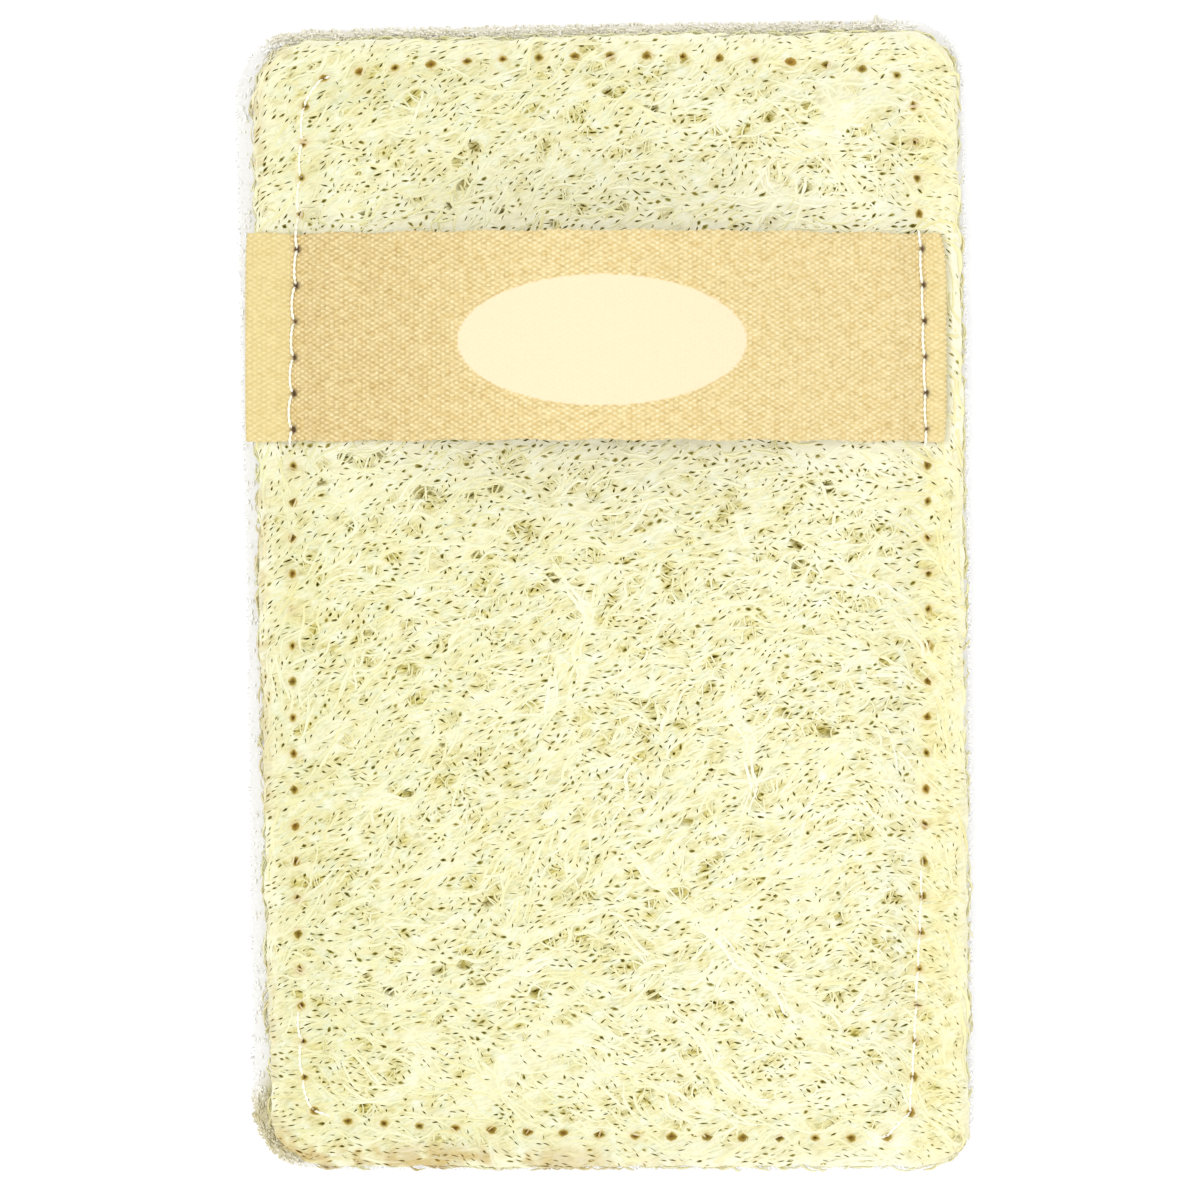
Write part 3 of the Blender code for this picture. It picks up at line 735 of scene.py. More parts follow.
def patch_grid(loop, marks, across, along):
    """Grid over a closed outline by a blend of its four sides.

    P(u, v) = (1 - v) bottom + v top + (1 - u) left + u right - the same blend of the four corners."""
    nearest = [int(np.linalg.norm(loop - np.array(mark), axis=1).argmin()) for mark in marks]
    sides = []
    for index, count in enumerate((across, along, across, along)):
        start = nearest[index]
        stop = nearest[(index + 1) % 4]
        run = np.arange(start, stop + 1 if stop > start else stop + len(loop) + 1) % len(loop)
        part = loop[run]
        reached = np.concatenate([[0], np.cumsum(np.linalg.norm(np.diff(part, axis=0), axis=1))])
        where = np.linspace(0, reached[-1], count)
        sides.append(np.column_stack([np.interp(where, reached, part[:, axis]) for axis in (0, 1)]))
    bottom, right, top, left = sides[0], sides[1], sides[2][::-1], sides[3][::-1]
    u = np.linspace(0, 1, across)[None, :, None]
    v = np.linspace(0, 1, along)[:, None, None]
    corners = (
        (1 - u) * (1 - v) * bottom[0]
        + u * (1 - v) * bottom[-1]
        + (1 - u) * v * top[0]
        + u * v * top[-1]
    )
    return (1 - v) * bottom[None] + v * top[None] + (1 - u) * left[:, None] + u * right[:, None] - corners


def grid_faces(across, along, woven=False):
    """Triangles of a grid whose rows run along, counter-clockwise from above.

    Woven, the diagonals of neighbouring squares alternate and meet at every second point."""
    row, column = np.meshgrid(np.arange(along - 1), np.arange(across - 1), indexing="ij")
    here = (row * across + column).ravel()
    beside = here + 1
    above = here + across
    first = np.column_stack([here, beside, above + 1, here, above + 1, above])
    other = np.column_stack([here, beside, above, beside, above + 1, above])
    odd = (row + column).ravel() % 2 == 1
    return np.where((odd & woven)[:, None], other, first).reshape(-1, 3)


def rim_of(across, along):
    """Indices round a grid's edge, counter-clockwise from its first point."""
    bottom = np.arange(across)
    right = np.arange(1, along) * across + across - 1
    top = (along - 1) * across + np.arange(across - 2, -1, -1)
    left = np.arange(along - 2, 0, -1) * across
    return np.concatenate([bottom, right, top, left])


def closed_below(points, faces, rim, ring, centre):
    """Close a surface: a wall from its rim, counter-clockwise from above, to a ring of points, and a fan from
    them to a centre."""
    now = len(points) + np.arange(len(rim))
    end = np.full(len(rim), len(points) + len(rim))
    after, now_after = np.roll(rim, -1), np.roll(now, -1)
    walls = ([rim, now, now_after], [rim, now_after, after], [now_after, now, end])
    faces = np.vstack([faces] + [np.column_stack(wall) for wall in walls])
    return np.vstack([points, ring, centre]), faces


def corner_marks(corners):
    """Middle of each corner's arc."""
    path = rounded_path(corners)
    return [path[index * (ARC_POINTS + SIDE_POINTS - 2) + ARC_POINTS // 2] for index in range(4)]


def inset_loop(loop, distance):
    """A closed loop moved inwards, square to the line through each point's two neighbours."""
    ahead = np.roll(loop, -1, axis=0) - np.roll(loop, 1, axis=0)
    ahead /= np.linalg.norm(ahead, axis=1)[:, None]
    return loop + np.column_stack([-ahead[:, 1], ahead[:, 0]]) * distance


SHEET_CELLS = (76, 196)  # cells of the net across and along the pad, about 1.3 by 0.8 mm each
CELL_BORDER = ((0, 0), (1, 0), (2, 0), (2, 1), (2, 2), (1, 2), (0, 2), (0, 1))  # grid steps round a cell
EIGHTH = math.pi / 4  # turn from one point of a cell's border to the next
BRICK_SHIFT = 0.29
PIT_DROP = 0.75


def net_grid():
    """Corners, edge middles and centres of the net's cells, laid like bricks.

    Away from the cut edge they are moved by up to 0.8 mm of smooth noise, and up to 0.17 mm across and
    0.12 mm along at random. The outline is ragged by up to 0.45 mm."""
    across, along = 2 * SHEET_CELLS[0] + 1, 2 * SHEET_CELLS[1] + 1
    loop = spaced(rounded_path(LOOFAH_CORNERS), 1600)[0]
    ragged = 0.3 * RAGGED_NOISE.at(*loop.T) + 0.15 * FINE_NOISE.at(*loop.T)
    grid = patch_grid(inset_loop(loop, 0.35 - ragged[:, None]), corner_marks(LOOFAH_CORNERS), across, along)
    draw = np.random.default_rng(SEED + 2)
    x, y = grid[..., 0].copy(), grid[..., 1].copy()
    free = smooth_step((EDGE_DEPTH.at(x, y) - 0.35) / 4)
    grid[..., 0] += free * (0.55 * MIDDLE_NOISE.at(x, y) + 0.22 * SMALL_NOISE.at(x, y))
    grid[..., 1] += free * (0.55 * MIDDLE_NOISE.at(-x, y) + 0.18 * SMALL_NOISE.at(x, -y))
    grid[1::4, :, 0] += BRICK_SHIFT * free[1::4]
    grid[3::4, :, 0] -= BRICK_SHIFT * free[3::4]
    inner = grid[1:-1, 1:-1]
    inner += draw.uniform(-0.5, 0.5, inner.shape) * (0.33, 0.24) * free[1:-1, 1:-1, None]
    return grid


def pit_depth(grid):
    """Share of each pit's depth at the grid's points, after those near a rim are moved onto it.

    With s the distance from a pit's centre in its half sizes, points at 0.72 to 1.3 go to 1.1 + 0.3 (s - 1)
    and stay up, and points nearer than 0.72 go down. Pits within 2.4 mm of a needle hole are left out."""
    drop = np.zeros(grid.shape[:2])
    for x, y, long, wide, turn in PITS:
        if np.hypot(*(STATIONS - (x, y)).T).min() < 2.4:
            continue
        way = math.radians(turn)
        away = grid - (x, y)
        a = away[..., 0] * math.cos(way) + away[..., 1] * math.sin(way)
        b = away[..., 1] * math.cos(way) - away[..., 0] * math.sin(way)
        size = np.hypot(a / long, b / wide) + 1e-6
        rim = (size > 0.72) & (size < 1.3)
        grid[rim] += (away * ((1.1 + 0.3 * (size - 1)) / size - 1)[..., None])[rim]
        drop[size <= 0.72] = 1.0
    return drop


def set_holes(grid, middles):
    """Bring the nearest cell to each needle hole, and give their numbers.

    Round each hole the grid moves by (hole - cell) exp(-(r / 1.8)^2), then out by 0.45 exp(-(r / 1.2)^2)."""
    cells = []
    for place in STATIONS:
        centre = grid.reshape(-1, 2)[middles]
        cell = int(np.hypot(*(centre - place).T).argmin())
        shift = place - centre[cell]
        square = ((grid - place) ** 2).sum(axis=-1)
        grid += np.exp(-square / 1.8**2)[..., None] * shift
        away = grid - place
        gap = np.linalg.norm(away, axis=-1)[..., None] + 1e-3
        grid += 0.45 * np.exp(-((gap / 1.2) ** 2)) * away / gap
        cells.append(cell)
    return np.array(cells)


def off_band(y):
    """Distance along the pad from the band's nearer edge, and 0 beneath it."""
    return np.maximum(np.maximum(STRAP_BOTTOM - y, y - STRAP_TOP), 0)


def slit_shapes(draw, x, y, pitted):
    """A row for each cell's slit: turn, half length, half width, depth, darkness, brownness, and 1 if open.

    Slits lie along the heading, give or take 16 degrees and noise, and 4 in 10 turn by up to 75 degrees more.
    With r random from 0 to 1 the half length is 0.4 + 0.75 r, the half width 0.07 to 0.16 and 0.22 r^5 more,
    and the darkness, painted shade down the slit with some of the fibre's own olive, 0.2 + 0.56 r^1.4. All
    three grow beside the band, and the darkness on the left too. Slits are common in the windows, rare at the
    cut edge and none on the veins. Outside the seam they lie straight and slim, and on the right they are pale
    there."""
    count = len(x)
    turn = heading(x, y) + draw.normal(0, math.radians(16), count) + 0.8 * SMALL_NOISE.at(-x, y)
    turn = turn + np.where(draw.uniform(0, 1, count) < 0.4, draw.uniform(-1.3, 1.3, count), 0)
    long = 0.4 + 0.75 * draw.uniform(0, 1, count)
    wide = draw.uniform(0.07, 0.16, count) + 0.22 * draw.uniform(0, 1, count) ** 5
    deep = draw.uniform(0.2, 0.55, count)
    window = window_at(x, y)
    near_band = np.exp(-off_band(y) / 7)
    # painted shade: slits are darker on the left and beside the band
    slit_darkening = 1.07 + 0.12 * smooth_step((-5 - x) / 35) + 0.3 * near_band
    dark = (0.2 + 0.56 * draw.uniform(0, 1, count) ** 1.4) * (0.8 + 0.2 * window) * slit_darkening
    wide = wide * (1 + 0.35 * near_band)
    long = long * (1 + 0.15 * near_band)
    dark = np.where(pitted, draw.uniform(0.1, 0.8, count), dark)
    brown = np.where(pitted, 0.5 * draw.uniform(0, 1, count) ** 2, 0.6 * fringe_at(x, y))
    rare_within = np.where(x > 40, 1.8, 0.8)
    chance = (0.7 + 0.3 * window) * smooth_step((EDGE_DEPTH.at(x, y) - 0.2) / rare_within)
    is_open = draw.uniform(0, 1, count) < np.where(pitted, 0.75, chance)
    is_open &= vein_at(x, y) < 0.28
    is_open &= np.hypot(x[:, None] - STATIONS[:, 0], y[:, None] - STATIONS[:, 1]).min(axis=1) > 1.7
    margin = SEAM_DEPTH.at(x, y) < -0.8
    dark = dark * np.where(margin & (x > 43), 0.4, 1)
    wide = wide * np.where(margin, 0.8, 1)
    turn = np.where(margin, heading(x, y) + draw.normal(0, 0.2, count), turn)
    return np.column_stack([turn, long, wide, deep, dark, brown, is_open])


def open_holes(draw, flat, border, centre, held, slits):
    """The cells at the needle holes: each an open brown slit along the seam, round the hole's middle, with
    its border on an oval of half sizes 0.95 and 0.75 mm."""
    for cell, place, ahead, strong, size in zip(held, STATIONS, AHEAD, *draw.uniform(0, 1, (2, STITCHES))):
        angle = math.atan2(ahead[1], ahead[0])
        centre[cell] = place
        slits[cell] = angle, 0.4 + 0.45 * size, 0.35 + 0.25 * size, 0.7, 0.5, 0.45 + 0.35 * strong, 1
        first = math.atan2(*(flat[border[cell, 0]] - place)[::-1])
        k = (np.arange(8) + round((first - angle) / EIGHTH)) * EIGHTH
        oval = np.column_stack([0.95 * np.cos(k), 0.75 * np.sin(k)])
        flat[border[cell]] = place + oval @ np.array([ahead, [-ahead[1], ahead[0]]])


def room_in_cell(outer, angle):
    """Distance from a cell's centre to its border along each angle, n by 8 for borders n by 8 by 2.

    The ray d meets the side from p by e at t = (p x e) / (d x e), for 0 <= (p x d) / (d x e) <= 1."""
    side = np.roll(outer, -1, axis=1) - outer
    ray = np.stack([np.cos(angle), np.sin(angle)], axis=2)
    turn = ray[:, :, None, 0] * side[:, None, :, 1] - ray[:, :, None, 1] * side[:, None, :, 0]
    turn = np.where(np.abs(turn) < 1e-9, 1e-9, turn)
    reach = (outer[..., 0] * side[..., 1] - outer[..., 1] * side[..., 0])[:, None] / turn
    start = outer[:, None, :, 0] * ray[:, :, None, 1] - outer[:, None, :, 1] * ray[:, :, None, 0]
    hit = (reach > 0) & (start / turn >= -0.001) & (start / turn <= 1.001)
    return np.where(hit, reach, 9.0).min(axis=2)


def slit_lips(draw, outer, turn, long, wide):
    """A lip of 8 points round each slit, from its cell's centre, within 0.86 of the room to its border.

    R(turn) (long cos k, wide sin k |sin k|^0.6) at every 45 degrees, each point times 0.7 to 1.25 at random.
    The first is the one that faces the border's first point."""
    first = np.arctan2(outer[:, 0, 1], outer[:, 0, 0])
    k = (np.arange(8)[None] + np.round((first - turn) / EIGHTH)[:, None]) * EIGHTH
    wobble = draw.uniform(0.7, 1.25, k.shape)
    a = np.cos(k) * (long[:, None] * wobble)
    b = np.sin(k) * np.abs(np.sin(k)) ** 0.6 * (wide[:, None] * wobble)
    cos, sin = np.cos(turn)[:, None], np.sin(turn)[:, None]
    lip = np.stack([a * cos - b * sin, a * sin + b * cos], axis=2)
    room = room_in_cell(outer, np.arctan2(lip[..., 1], lip[..., 0]))
    return lip * np.minimum(1, 0.86 * room / np.linalg.norm(lip, axis=2))[..., None]


def net_level(x, y, drop):
    """Height of the net: felt - drop - 0.8 exp(-edge / 0.4), with edge the way to the cut edge less 0.35 mm,
    kept between the sheet's underside and the band."""
    edge = 0.8 * np.exp(-np.maximum(EDGE_DEPTH.at(x, y) - 0.35, 0) / 0.4)
    return np.clip(felt_level(x, y) - drop - edge, LOOFAH_BOTTOM + 0.25, ceiling(x, y) - 0.15)


def make_net_half(name, faces, rim, points, layers, material):
    """One half of the net, closed down to the underside of the sheet, with its rim kept sharp."""
    used, place = np.unique(np.concatenate([faces.ravel(), rim]), return_inverse=True)
    faces = place[: faces.size].reshape(-1, 3)
    rim = place[-len(rim) :]
    floor = points[used[rim]] * (1, 1, 0) + (0, 0, LOOFAH_BOTTOM)
    body, faces = closed_below(points[used], faces, rim, floor, floor.mean(axis=0))
    blank = np.zeros(len(rim) + 1)
    values = {key: np.concatenate([value[used], blank]) for key, value in layers.items()}
    crease = np.zeros(len(body), bool)
    crease[rim] = True
    return make_piece(name, body, faces, material, ["loofah_face"], values, crease=crease)


def make_net_sheet():
    """The pressed sheet in two halves: a felted net of pale fibre with a lens-shaped slit in most cells.

    A cell with a slit is a ring of faces from the 8 points on its border to the slit's lip, and a fan from
    the lip down to the slit's bottom. A cell without one is a fan."""
    draw = np.random.default_rng(SEED + 3)
    grid = net_grid()
    columns, rows = SHEET_CELLS
    across = grid.shape[1]
    row, column = (part.ravel() for part in np.indices((rows, columns)))
    middle = (2 * row + 1) * across + 2 * column + 1
    held = set_holes(grid, middle)
    drop = pit_depth(grid).ravel()
    flat = grid.reshape(-1, 2)
    border = np.stack([(2 * row + up) * across + 2 * column + right for right, up in CELL_BORDER], axis=1)
    centre = flat[middle] + draw.uniform(-0.5, 0.5, (len(middle), 2)) * (0.28, 0.2)
    slits = slit_shapes(draw, centre[:, 0], centre[:, 1], drop[middle] > 0.5)
    open_holes(draw, flat, border, centre, held, slits)
    turn, long, wide, deep, dark, brown, is_open = slits.T
    is_open = is_open > 0
    flat[middle] = centre
    lip = slit_lips(draw, flat[border] - centre[:, None], turn, long, wide)
    lip = (lip + centre[:, None])[is_open].reshape(-1, 2)
    down = PIT_DROP * drop
    down[middle] += np.where(is_open, deep, 0.04)
    lip_down = np.repeat((PIT_DROP * drop[middle])[is_open], 8) - 0.03
    z = np.concatenate([net_level(*flat.T, down), net_level(*lip.T, lip_down)])
    points = np.column_stack([np.vstack([flat, lip]), z])
    lips = len(flat) + np.arange(len(lip)).reshape(-1, 8)
    after = np.roll(np.arange(8), -1)
    edge = border[is_open]
    hub = np.repeat(middle[:, None], 8, axis=1)
    faces = [
        (row[~is_open], np.stack([border, border[:, after], hub], axis=2)[~is_open]),
        (row[is_open], np.stack([edge, edge[:, after], lips[:, after]], axis=2)),
        (row[is_open], np.stack([edge, lips[:, after], lips], axis=2)),
        (row[is_open], np.stack([lips, lips[:, after], hub[is_open]], axis=2)),
    ]
    x, y = points[:, 0], points[:, 1]
    window = window_at(x, y)
    fringe = fringe_at(x, y)
    # painted shade, with some own olive: depth darkens the felt a little in windows and strongly down slits
    # and needle holes
    depth = 0.07 * smooth_step((window - 0.5) / 0.4)
    depth[middle] = np.where(is_open, dark, depth[middle])
    stain = 0.5 * stain_at(x, y) + 0.5 * fringe
    stain[middle] = np.maximum(np.where(is_open, brown, 0), stain[middle])
    hole_lips = lips[(np.cumsum(is_open) - 1)[held]]
    stain[hole_lips] = draw.uniform(0.3, 1.0, (STITCHES, 8)) * brown[held, None]
    depth[hole_lips] = 0.12
    tan = 0.85 * np.maximum(np.concatenate([drop, np.repeat(drop[middle][is_open], 8)]), window)
    rim_light = 0.7 * np.exp(-np.maximum(EDGE_DEPTH.at(x, y), 0) / 1.5) * (1 - fringe)
    # painted light: the felt is paler within about 5 mm of the band, against the shade its arch casts
    painted_light_near_band = 0.75 * np.exp(-off_band(y) / 5)
    pale = np.maximum(np.maximum(vein_at(x, y), rim_light), painted_light_near_band)
    layers = {"depth": depth, "stain": stain, "tan": tan, "pale": pale}
    material = felt_material()
    halves = []
    for name, low, high in (("loofah_net_lower", 0, rows // 2), ("loofah_net_upper", rows // 2, rows)):
        part = np.vstack([face[(at >= low) & (at < high)].reshape(-1, 3) for at, face in faces])
        rim = rim_of(across, 2 * (high - low) + 1) + 2 * low * across
        halves.append(make_net_half(name, part, rim, points, layers, material))
    return halves


def ceiling(x, y):
    """Highest that fibres may reach: just under the band where it lies over them, free elsewhere."""
    under = (y > STRAP_BOTTOM - 0.4) & (y < STRAP_TOP + 0.4)
    under &= (x > STRAP_LEFT - 0.4) & (x < STRAP_RIGHT + 0.4)
    return np.where(under, strap_underside(x) - 0.06, 99.0)


def cross_threads(draw):
    """Threads over the windows, up to 3 to each: middle, turn from the heading, and length.

    They cross at 50 to 130 degrees, spread along the window, and reach 0.5 mm past its rim."""
    rows = np.repeat(WINDOW_PLACES, 3, axis=0)
    rows = rows[draw.uniform(0.3, 1.6, len(rows)) < rows[:, 2]]
    side = draw.uniform(-0.8, 0.8, len(rows)) * rows[:, 2]
    x = rows[:, 0] + side * np.cos(rows[:, 4])
    y = rows[:, 1] + side * np.sin(rows[:, 4])
    turn = rows[:, 4] - heading(x, y) + math.pi / 2 + draw.uniform(-0.7, 0.7, len(rows))
    return x, y, turn, 2 * rows[:, 3] + 1.0


def smoothed(level):
    """Each row of heights with its inner points averaged 1 : 2 : 1 with their neighbours."""
    level[:, 1:-1] = (level[:, :-2] + 2 * level[:, 1:-1] + level[:, 2:]) / 4
    return level


def make_fibres(name, count, length, stations, spread, bend, layer, width, tones, seed):
    """One layer of fibres: about as many as the count, or the cross threads where it is 0.

    Each is a flat strand, a quarter as thick as wide, that tapers by 0.85 |t|^5 for t from -1 to 1 along it.
    Its height is felt + share (layer + 0.05 sin(pi t length / 4.5 + phase) - 0.35 t^8), so that its ends sink
    into the mat. Near the cut edge it bends down by up to 0.9 exp(-edge / 0.8) times its own draw."""
    draw = np.random.default_rng(SEED + seed)
    if count:
        x, y = held_inside(*seeds(draw, count), 1.0)
        turn = draw.normal(0, math.radians(spread), len(x))
        lengths = length * draw.uniform(0.7, 1.3, len(x))
    else:
        x, y, turn, lengths = cross_threads(draw)
    n = len(x)
    curve = draw.normal(0, bend, n)
    inset = draw.uniform(0.1, 1.4, n)
    path = laid_paths(draw, x, y, lengths, stations, turn, curve, count > 0, inset)
    x, y = path[..., 0], path[..., 1]
    t = np.linspace(-1, 1, stations)[None]
    share = np.clip((sheet_level(x, y) - LOOFAH_BOTTOM) / LOOFAH_FULL, 0.35, 1)
    weave = 0.05 * np.sin(math.pi * t * lengths[:, None] / 4.5 + draw.uniform(0, 6.28, (n, 1)))
    height = draw.uniform(*layer, (n, 1)) + weave
    half_width = draw.uniform(*width, (n, 1)) / 2 * (1 - 0.85 * np.abs(t) ** 5)
    half_height = 0.25 * half_width
    z = smoothed(felt_level(x, y, 0.0)) + share * height - 0.35 * share * np.abs(t) ** 8
    sink = 0.9 * np.exp(-np.maximum(EDGE_DEPTH.at(x, y), 0) / 0.8)
    z = z - sink * draw.uniform(0.0, 1.6, (n, 1))
    z = np.minimum(z, ceiling(x, y) - half_height)
    z = np.maximum(z, LOOFAH_BOTTOM + half_height)
    depth = np.clip(tones[0] + (tones[1] - tones[0]) * draw.uniform(0, 1, (n, 1)), 0, 1)
    own = draw.uniform(0, 1, (n, 1))
    stain = stain_at(x.ravel(), y.ravel()).reshape(x.shape) * 0.8
    stain = np.maximum(stain, 0.4 * fringe_at(x, y))
    values = {"depth": depth, "own": own, "stain": stain}
    path = np.concatenate([path, z[..., None]], axis=2)
    return make_strands(name, path, (half_width, half_height), 3, FIBRE, values, "loofah_face")


# Length, width and layer above the felt in mm, spread in degrees and bend in radians a mm. Tones: 0 is pale
FIBRE_LAYERS = (
    dict(
        name="loofah_fibres_low",
        count=1900,
        length=6.5,
        stations=10,
        spread=14,
        bend=0.1,
        layer=(-0.05, 0.03),
        width=(0.28, 0.5),
        tones=(0.0, 0.2),
        seed=21,
    ),
    dict(
        name="loofah_fibres_high",
        count=1700,
        length=7,
        stations=10,
        spread=18,
        bend=0.1,
        layer=(-0.02, 0.05),
        width=(0.3, 0.62),
        tones=(0.0, 0.1),
        seed=22,
    ),
    dict(
        name="loofah_cross_threads",
        count=0,
        length=0,
        stations=7,
        spread=0,
        bend=0.45,
        layer=(-0.04, 0.04),
        width=(0.18, 0.34),
        tones=(0.1, 0.4),
        seed=24,
    ),
)


def make_veins():
    """The broad white veins: flat ribbons along the measured points, two to each vein.

    Each wanders by noise, is 0.12 to 0.28 (1 - 0.7 t^4) mm in half width, and dips by 0.4 t^10 at the tips."""
    draw = np.random.default_rng(SEED + 30)
    stations = 26
    lines = []
    for vein in VEINS:
        corners = np.array(vein)
        reached = np.concatenate([[0], np.cumsum(np.linalg.norm(np.diff(corners, axis=0), axis=1))])
        where = np.linspace(-0.6, reached[-1] + 0.6, stations)
        line = np.column_stack([np.interp(where, reached, corners[:, axis]) for axis in (0, 1)])
        line[1:-1] = (line[:-2] + line[1:-1] + line[2:]) / 3
        line[0] += line[0] - line[1]
        line[-1] += line[-1] - line[-2]
        for shift in (-0.3, 0.3):
            lines.append(line + shift + draw.uniform(-0.3, 0.3, 2))
    path = np.stack(lines)
    drift = 2.0 * draw.uniform(-1, 1, (len(lines), 1))
    path[..., 0] += 0.6 * SMALL_NOISE.at(path[..., 0] + drift, path[..., 1])
    path[..., 1] += 0.6 * SMALL_NOISE.at(path[..., 0], path[..., 1] + drift)
    x, y = path[..., 0], path[..., 1]
    t = np.linspace(-1, 1, stations)[None]
    half_width = draw.uniform(0.12, 0.28, (len(lines), 1)) * (1 - 0.7 * t**4) * (1 + 0.2 * np.sin(9 * t))
    z = smoothed(felt_level(x, y, 0.0))
    z = np.minimum(z + 0.01 - 0.4 * t**10, ceiling(x, y) - 0.2)
    path = np.concatenate([path, z[..., None]], axis=2)
    values = {"depth": 0.0, "own": 0.5, "stain": 0.0}
    size = (half_width, 0.22 * half_width)
    return make_strands("loofah_veins", path, size, 5, FIBRE, values, "loofah_face")


def fringe_at(x, y):
    """Tan of the rim, 0 to 1: blotches within 5 mm of the cut edge, strong along the bottom left, weaker up
    the left side and faint elsewhere."""
    side = smooth_step((-x - 40) / 8) * smooth_step((y + 84) / 10)
    low = smooth_step((-70 - y) / 8) * smooth_step((20 - x) / 40)
    strong = 0.1 + 0.9 * np.maximum(0.45 * side, low)
    reach = smooth_step((2 + 3 * low - EDGE_DEPTH.at(x, y)) / (0.8 + 2.4 * low))
    blotch = 0.7 * MIDDLE_NOISE.at(x, y + 5) + 0.6 * FINE_NOISE.at(-x, y) + 0.4 * SMALL_NOISE.at(x, y + 5)
    return strong * reach * smooth_step(0.45 + 1.2 * blotch)


def make_cut_edge():
    """The sheet's cut side: runs of fibre along the outline at all heights, and short cut ends pointing out.

    A run of 1.2 to 4.5 mm starts anywhere on the outline, lies an inset of up to 1.7 mm inside it, wanders by
    0.16 sin(2 pi s / 4) and a random slant, and turns in by 0.5 |2 t|^3 at its ends, with t from -0.5 to 0.5.
    Its height is a random share of the way from the underside to the top, which rounds off at the edge."""
    draw = np.random.default_rng(SEED + 40)
    count = 1500
    around = 2000
    start = draw.uniform(0, 1, count)
    length = draw.uniform(1.2, 4.5, count)[:, None]
    dense, ahead = spaced(LOOFAH_LOOP, around)
    total = np.linalg.norm(np.roll(dense, -1, axis=0) - dense, axis=1).sum()
    t = np.linspace(-0.5, 0.5, 8)[None]
    where = (start[:, None] * total + t * length) / total * around
    index = np.floor(where).astype(int) % around
    x, y = dense[index, 0], dense[index, 1]
    ragged = 0.35 * RAGGED_NOISE.at(x, y)
    inset = draw.uniform(0.0, 1.5, (count, 1)) ** 1.3
    phase = draw.uniform(0, 6, (count, 1))
    wander = inset - 0.1 - ragged + 0.16 * np.sin(math.pi * 2 * t * length / 4 + phase)
    wander = wander + draw.normal(0, 1.0, (count, 1)) * t + 0.5 * np.abs(2 * t) ** 3
    wander = np.maximum(wander, -0.25 + 0.3 * FINE_NOISE.at(x, y))
    x = x - ahead[index, 1] * wander
    y = y + ahead[index, 0] * wander
    top = np.minimum(sheet_level(x, y) - 0.45, ceiling(x, y) - 0.3)
    level = draw.uniform(0, 1, (count, 1)) ** 0.9
    rounding = 1.3 * np.exp(-np.maximum(wander, 0) / 0.5)
    z = LOOFAH_BOTTOM + 0.25 + (top - rounding * 0.7 - LOOFAH_BOTTOM - 0.25) * level
    z = z + 0.2 * np.sin(math.pi * 2 * t * length / 3.7 + draw.uniform(0, 6, (count, 1)))
    half_width = draw.uniform(0.09, 0.22, (count, 1)) * (1 - 0.6 * np.abs(2 * t) ** 3)
    path = np.stack([x, y, np.clip(z, LOOFAH_BOTTOM + 0.2, top)], axis=2)
    tan = smooth_step(0.5 + 0.9 * MIDDLE_NOISE.at(x, y))
    # painted shade: fibres lower on the cut side are darker; the tan patches, left of x = 40 mm, are their own
    # colour
    depth = np.clip(0.13 * (1 - level) + 0.1 * tan * (x < 40), 0, 1)
    values = {"depth": depth, "own": draw.uniform(0, 1, (count, 1)), "stain": 0.5 * fringe_at(x, y)}
    size = (half_width, 0.8 * half_width)
    return make_strands("loofah_cut_edge", path, size, 3, FIBRE, values, "loofah_face", smooth=True)


def canvas_material():
    """Unbleached cotton canvas, plain woven: warm beige and matt, with painted highlights on the nubs where a
    yarn crosses over and painted shade between them.

    The yarns themselves are in the mesh. Slubs are 1.1 mm apart, and the fuzz of the yarn, finer than 0.1 mm
    in the real one, is drawn 0.3 mm apart, so that it shows. Outside the seams painted light makes the cloth
    yellower where it tilts to the lamps, the left half is painted a shade darker towards its end, the oval
    place on its middle is pale cream, and the needle holes are dark brown."""
    material, tree, shader, place, read = new_material(
        "unbleached_cotton_canvas", 0.85, sheen=0.25, reads=("nub", "outer", "oval", "stain")
    )
    stops = [(0.0, "B89E68"), (0.45, "E1CD96"), (1.0, "F8ECC4")]
    colour = add_node(tree, "ValToRGB", {"stops": stops}, Fac=read["nub"]).outputs[0]
    slubs = add_node(tree, "TexNoise", Vector=place, Scale=0.9 / MM, Detail=2.0).outputs[0]
    stops = [(0.3, "EEE4C8"), (0.6, "FFFFFF")]
    tone = add_node(tree, "ValToRGB", {"stops": stops}, Fac=slubs).outputs[0]
    colour = add_node(tree, "Mix", MULTIPLY, i0=0.6, i6=colour, i7=tone).outputs[2]
    for key, code in (("outer", "E1D395"), ("oval", "F6DEBC"), ("stain", "4A2E12")):
        colour = add_node(tree, "Mix", BLEND, i0=read[key], i6=colour, i7=to_linear(code)).outputs[2]
    fuzz = add_node(tree, "TexNoise", Vector=place, Scale=3.2 / MM, Detail=2.0).outputs[0]
    surface(tree, shader, colour, fuzz, 0.3, 0.08)
    return material


WARP_PITCH = 0.36  # yarns along the band
WEFT_PITCH = 0.64  # thicker yarns across it, which stand as ribs
BAND_MIDDLE = 35.0
OVAL = (-0.2, BAND_MIDDLE, 19.7, 9.0)  # pale place on the band: middle, half length and half width


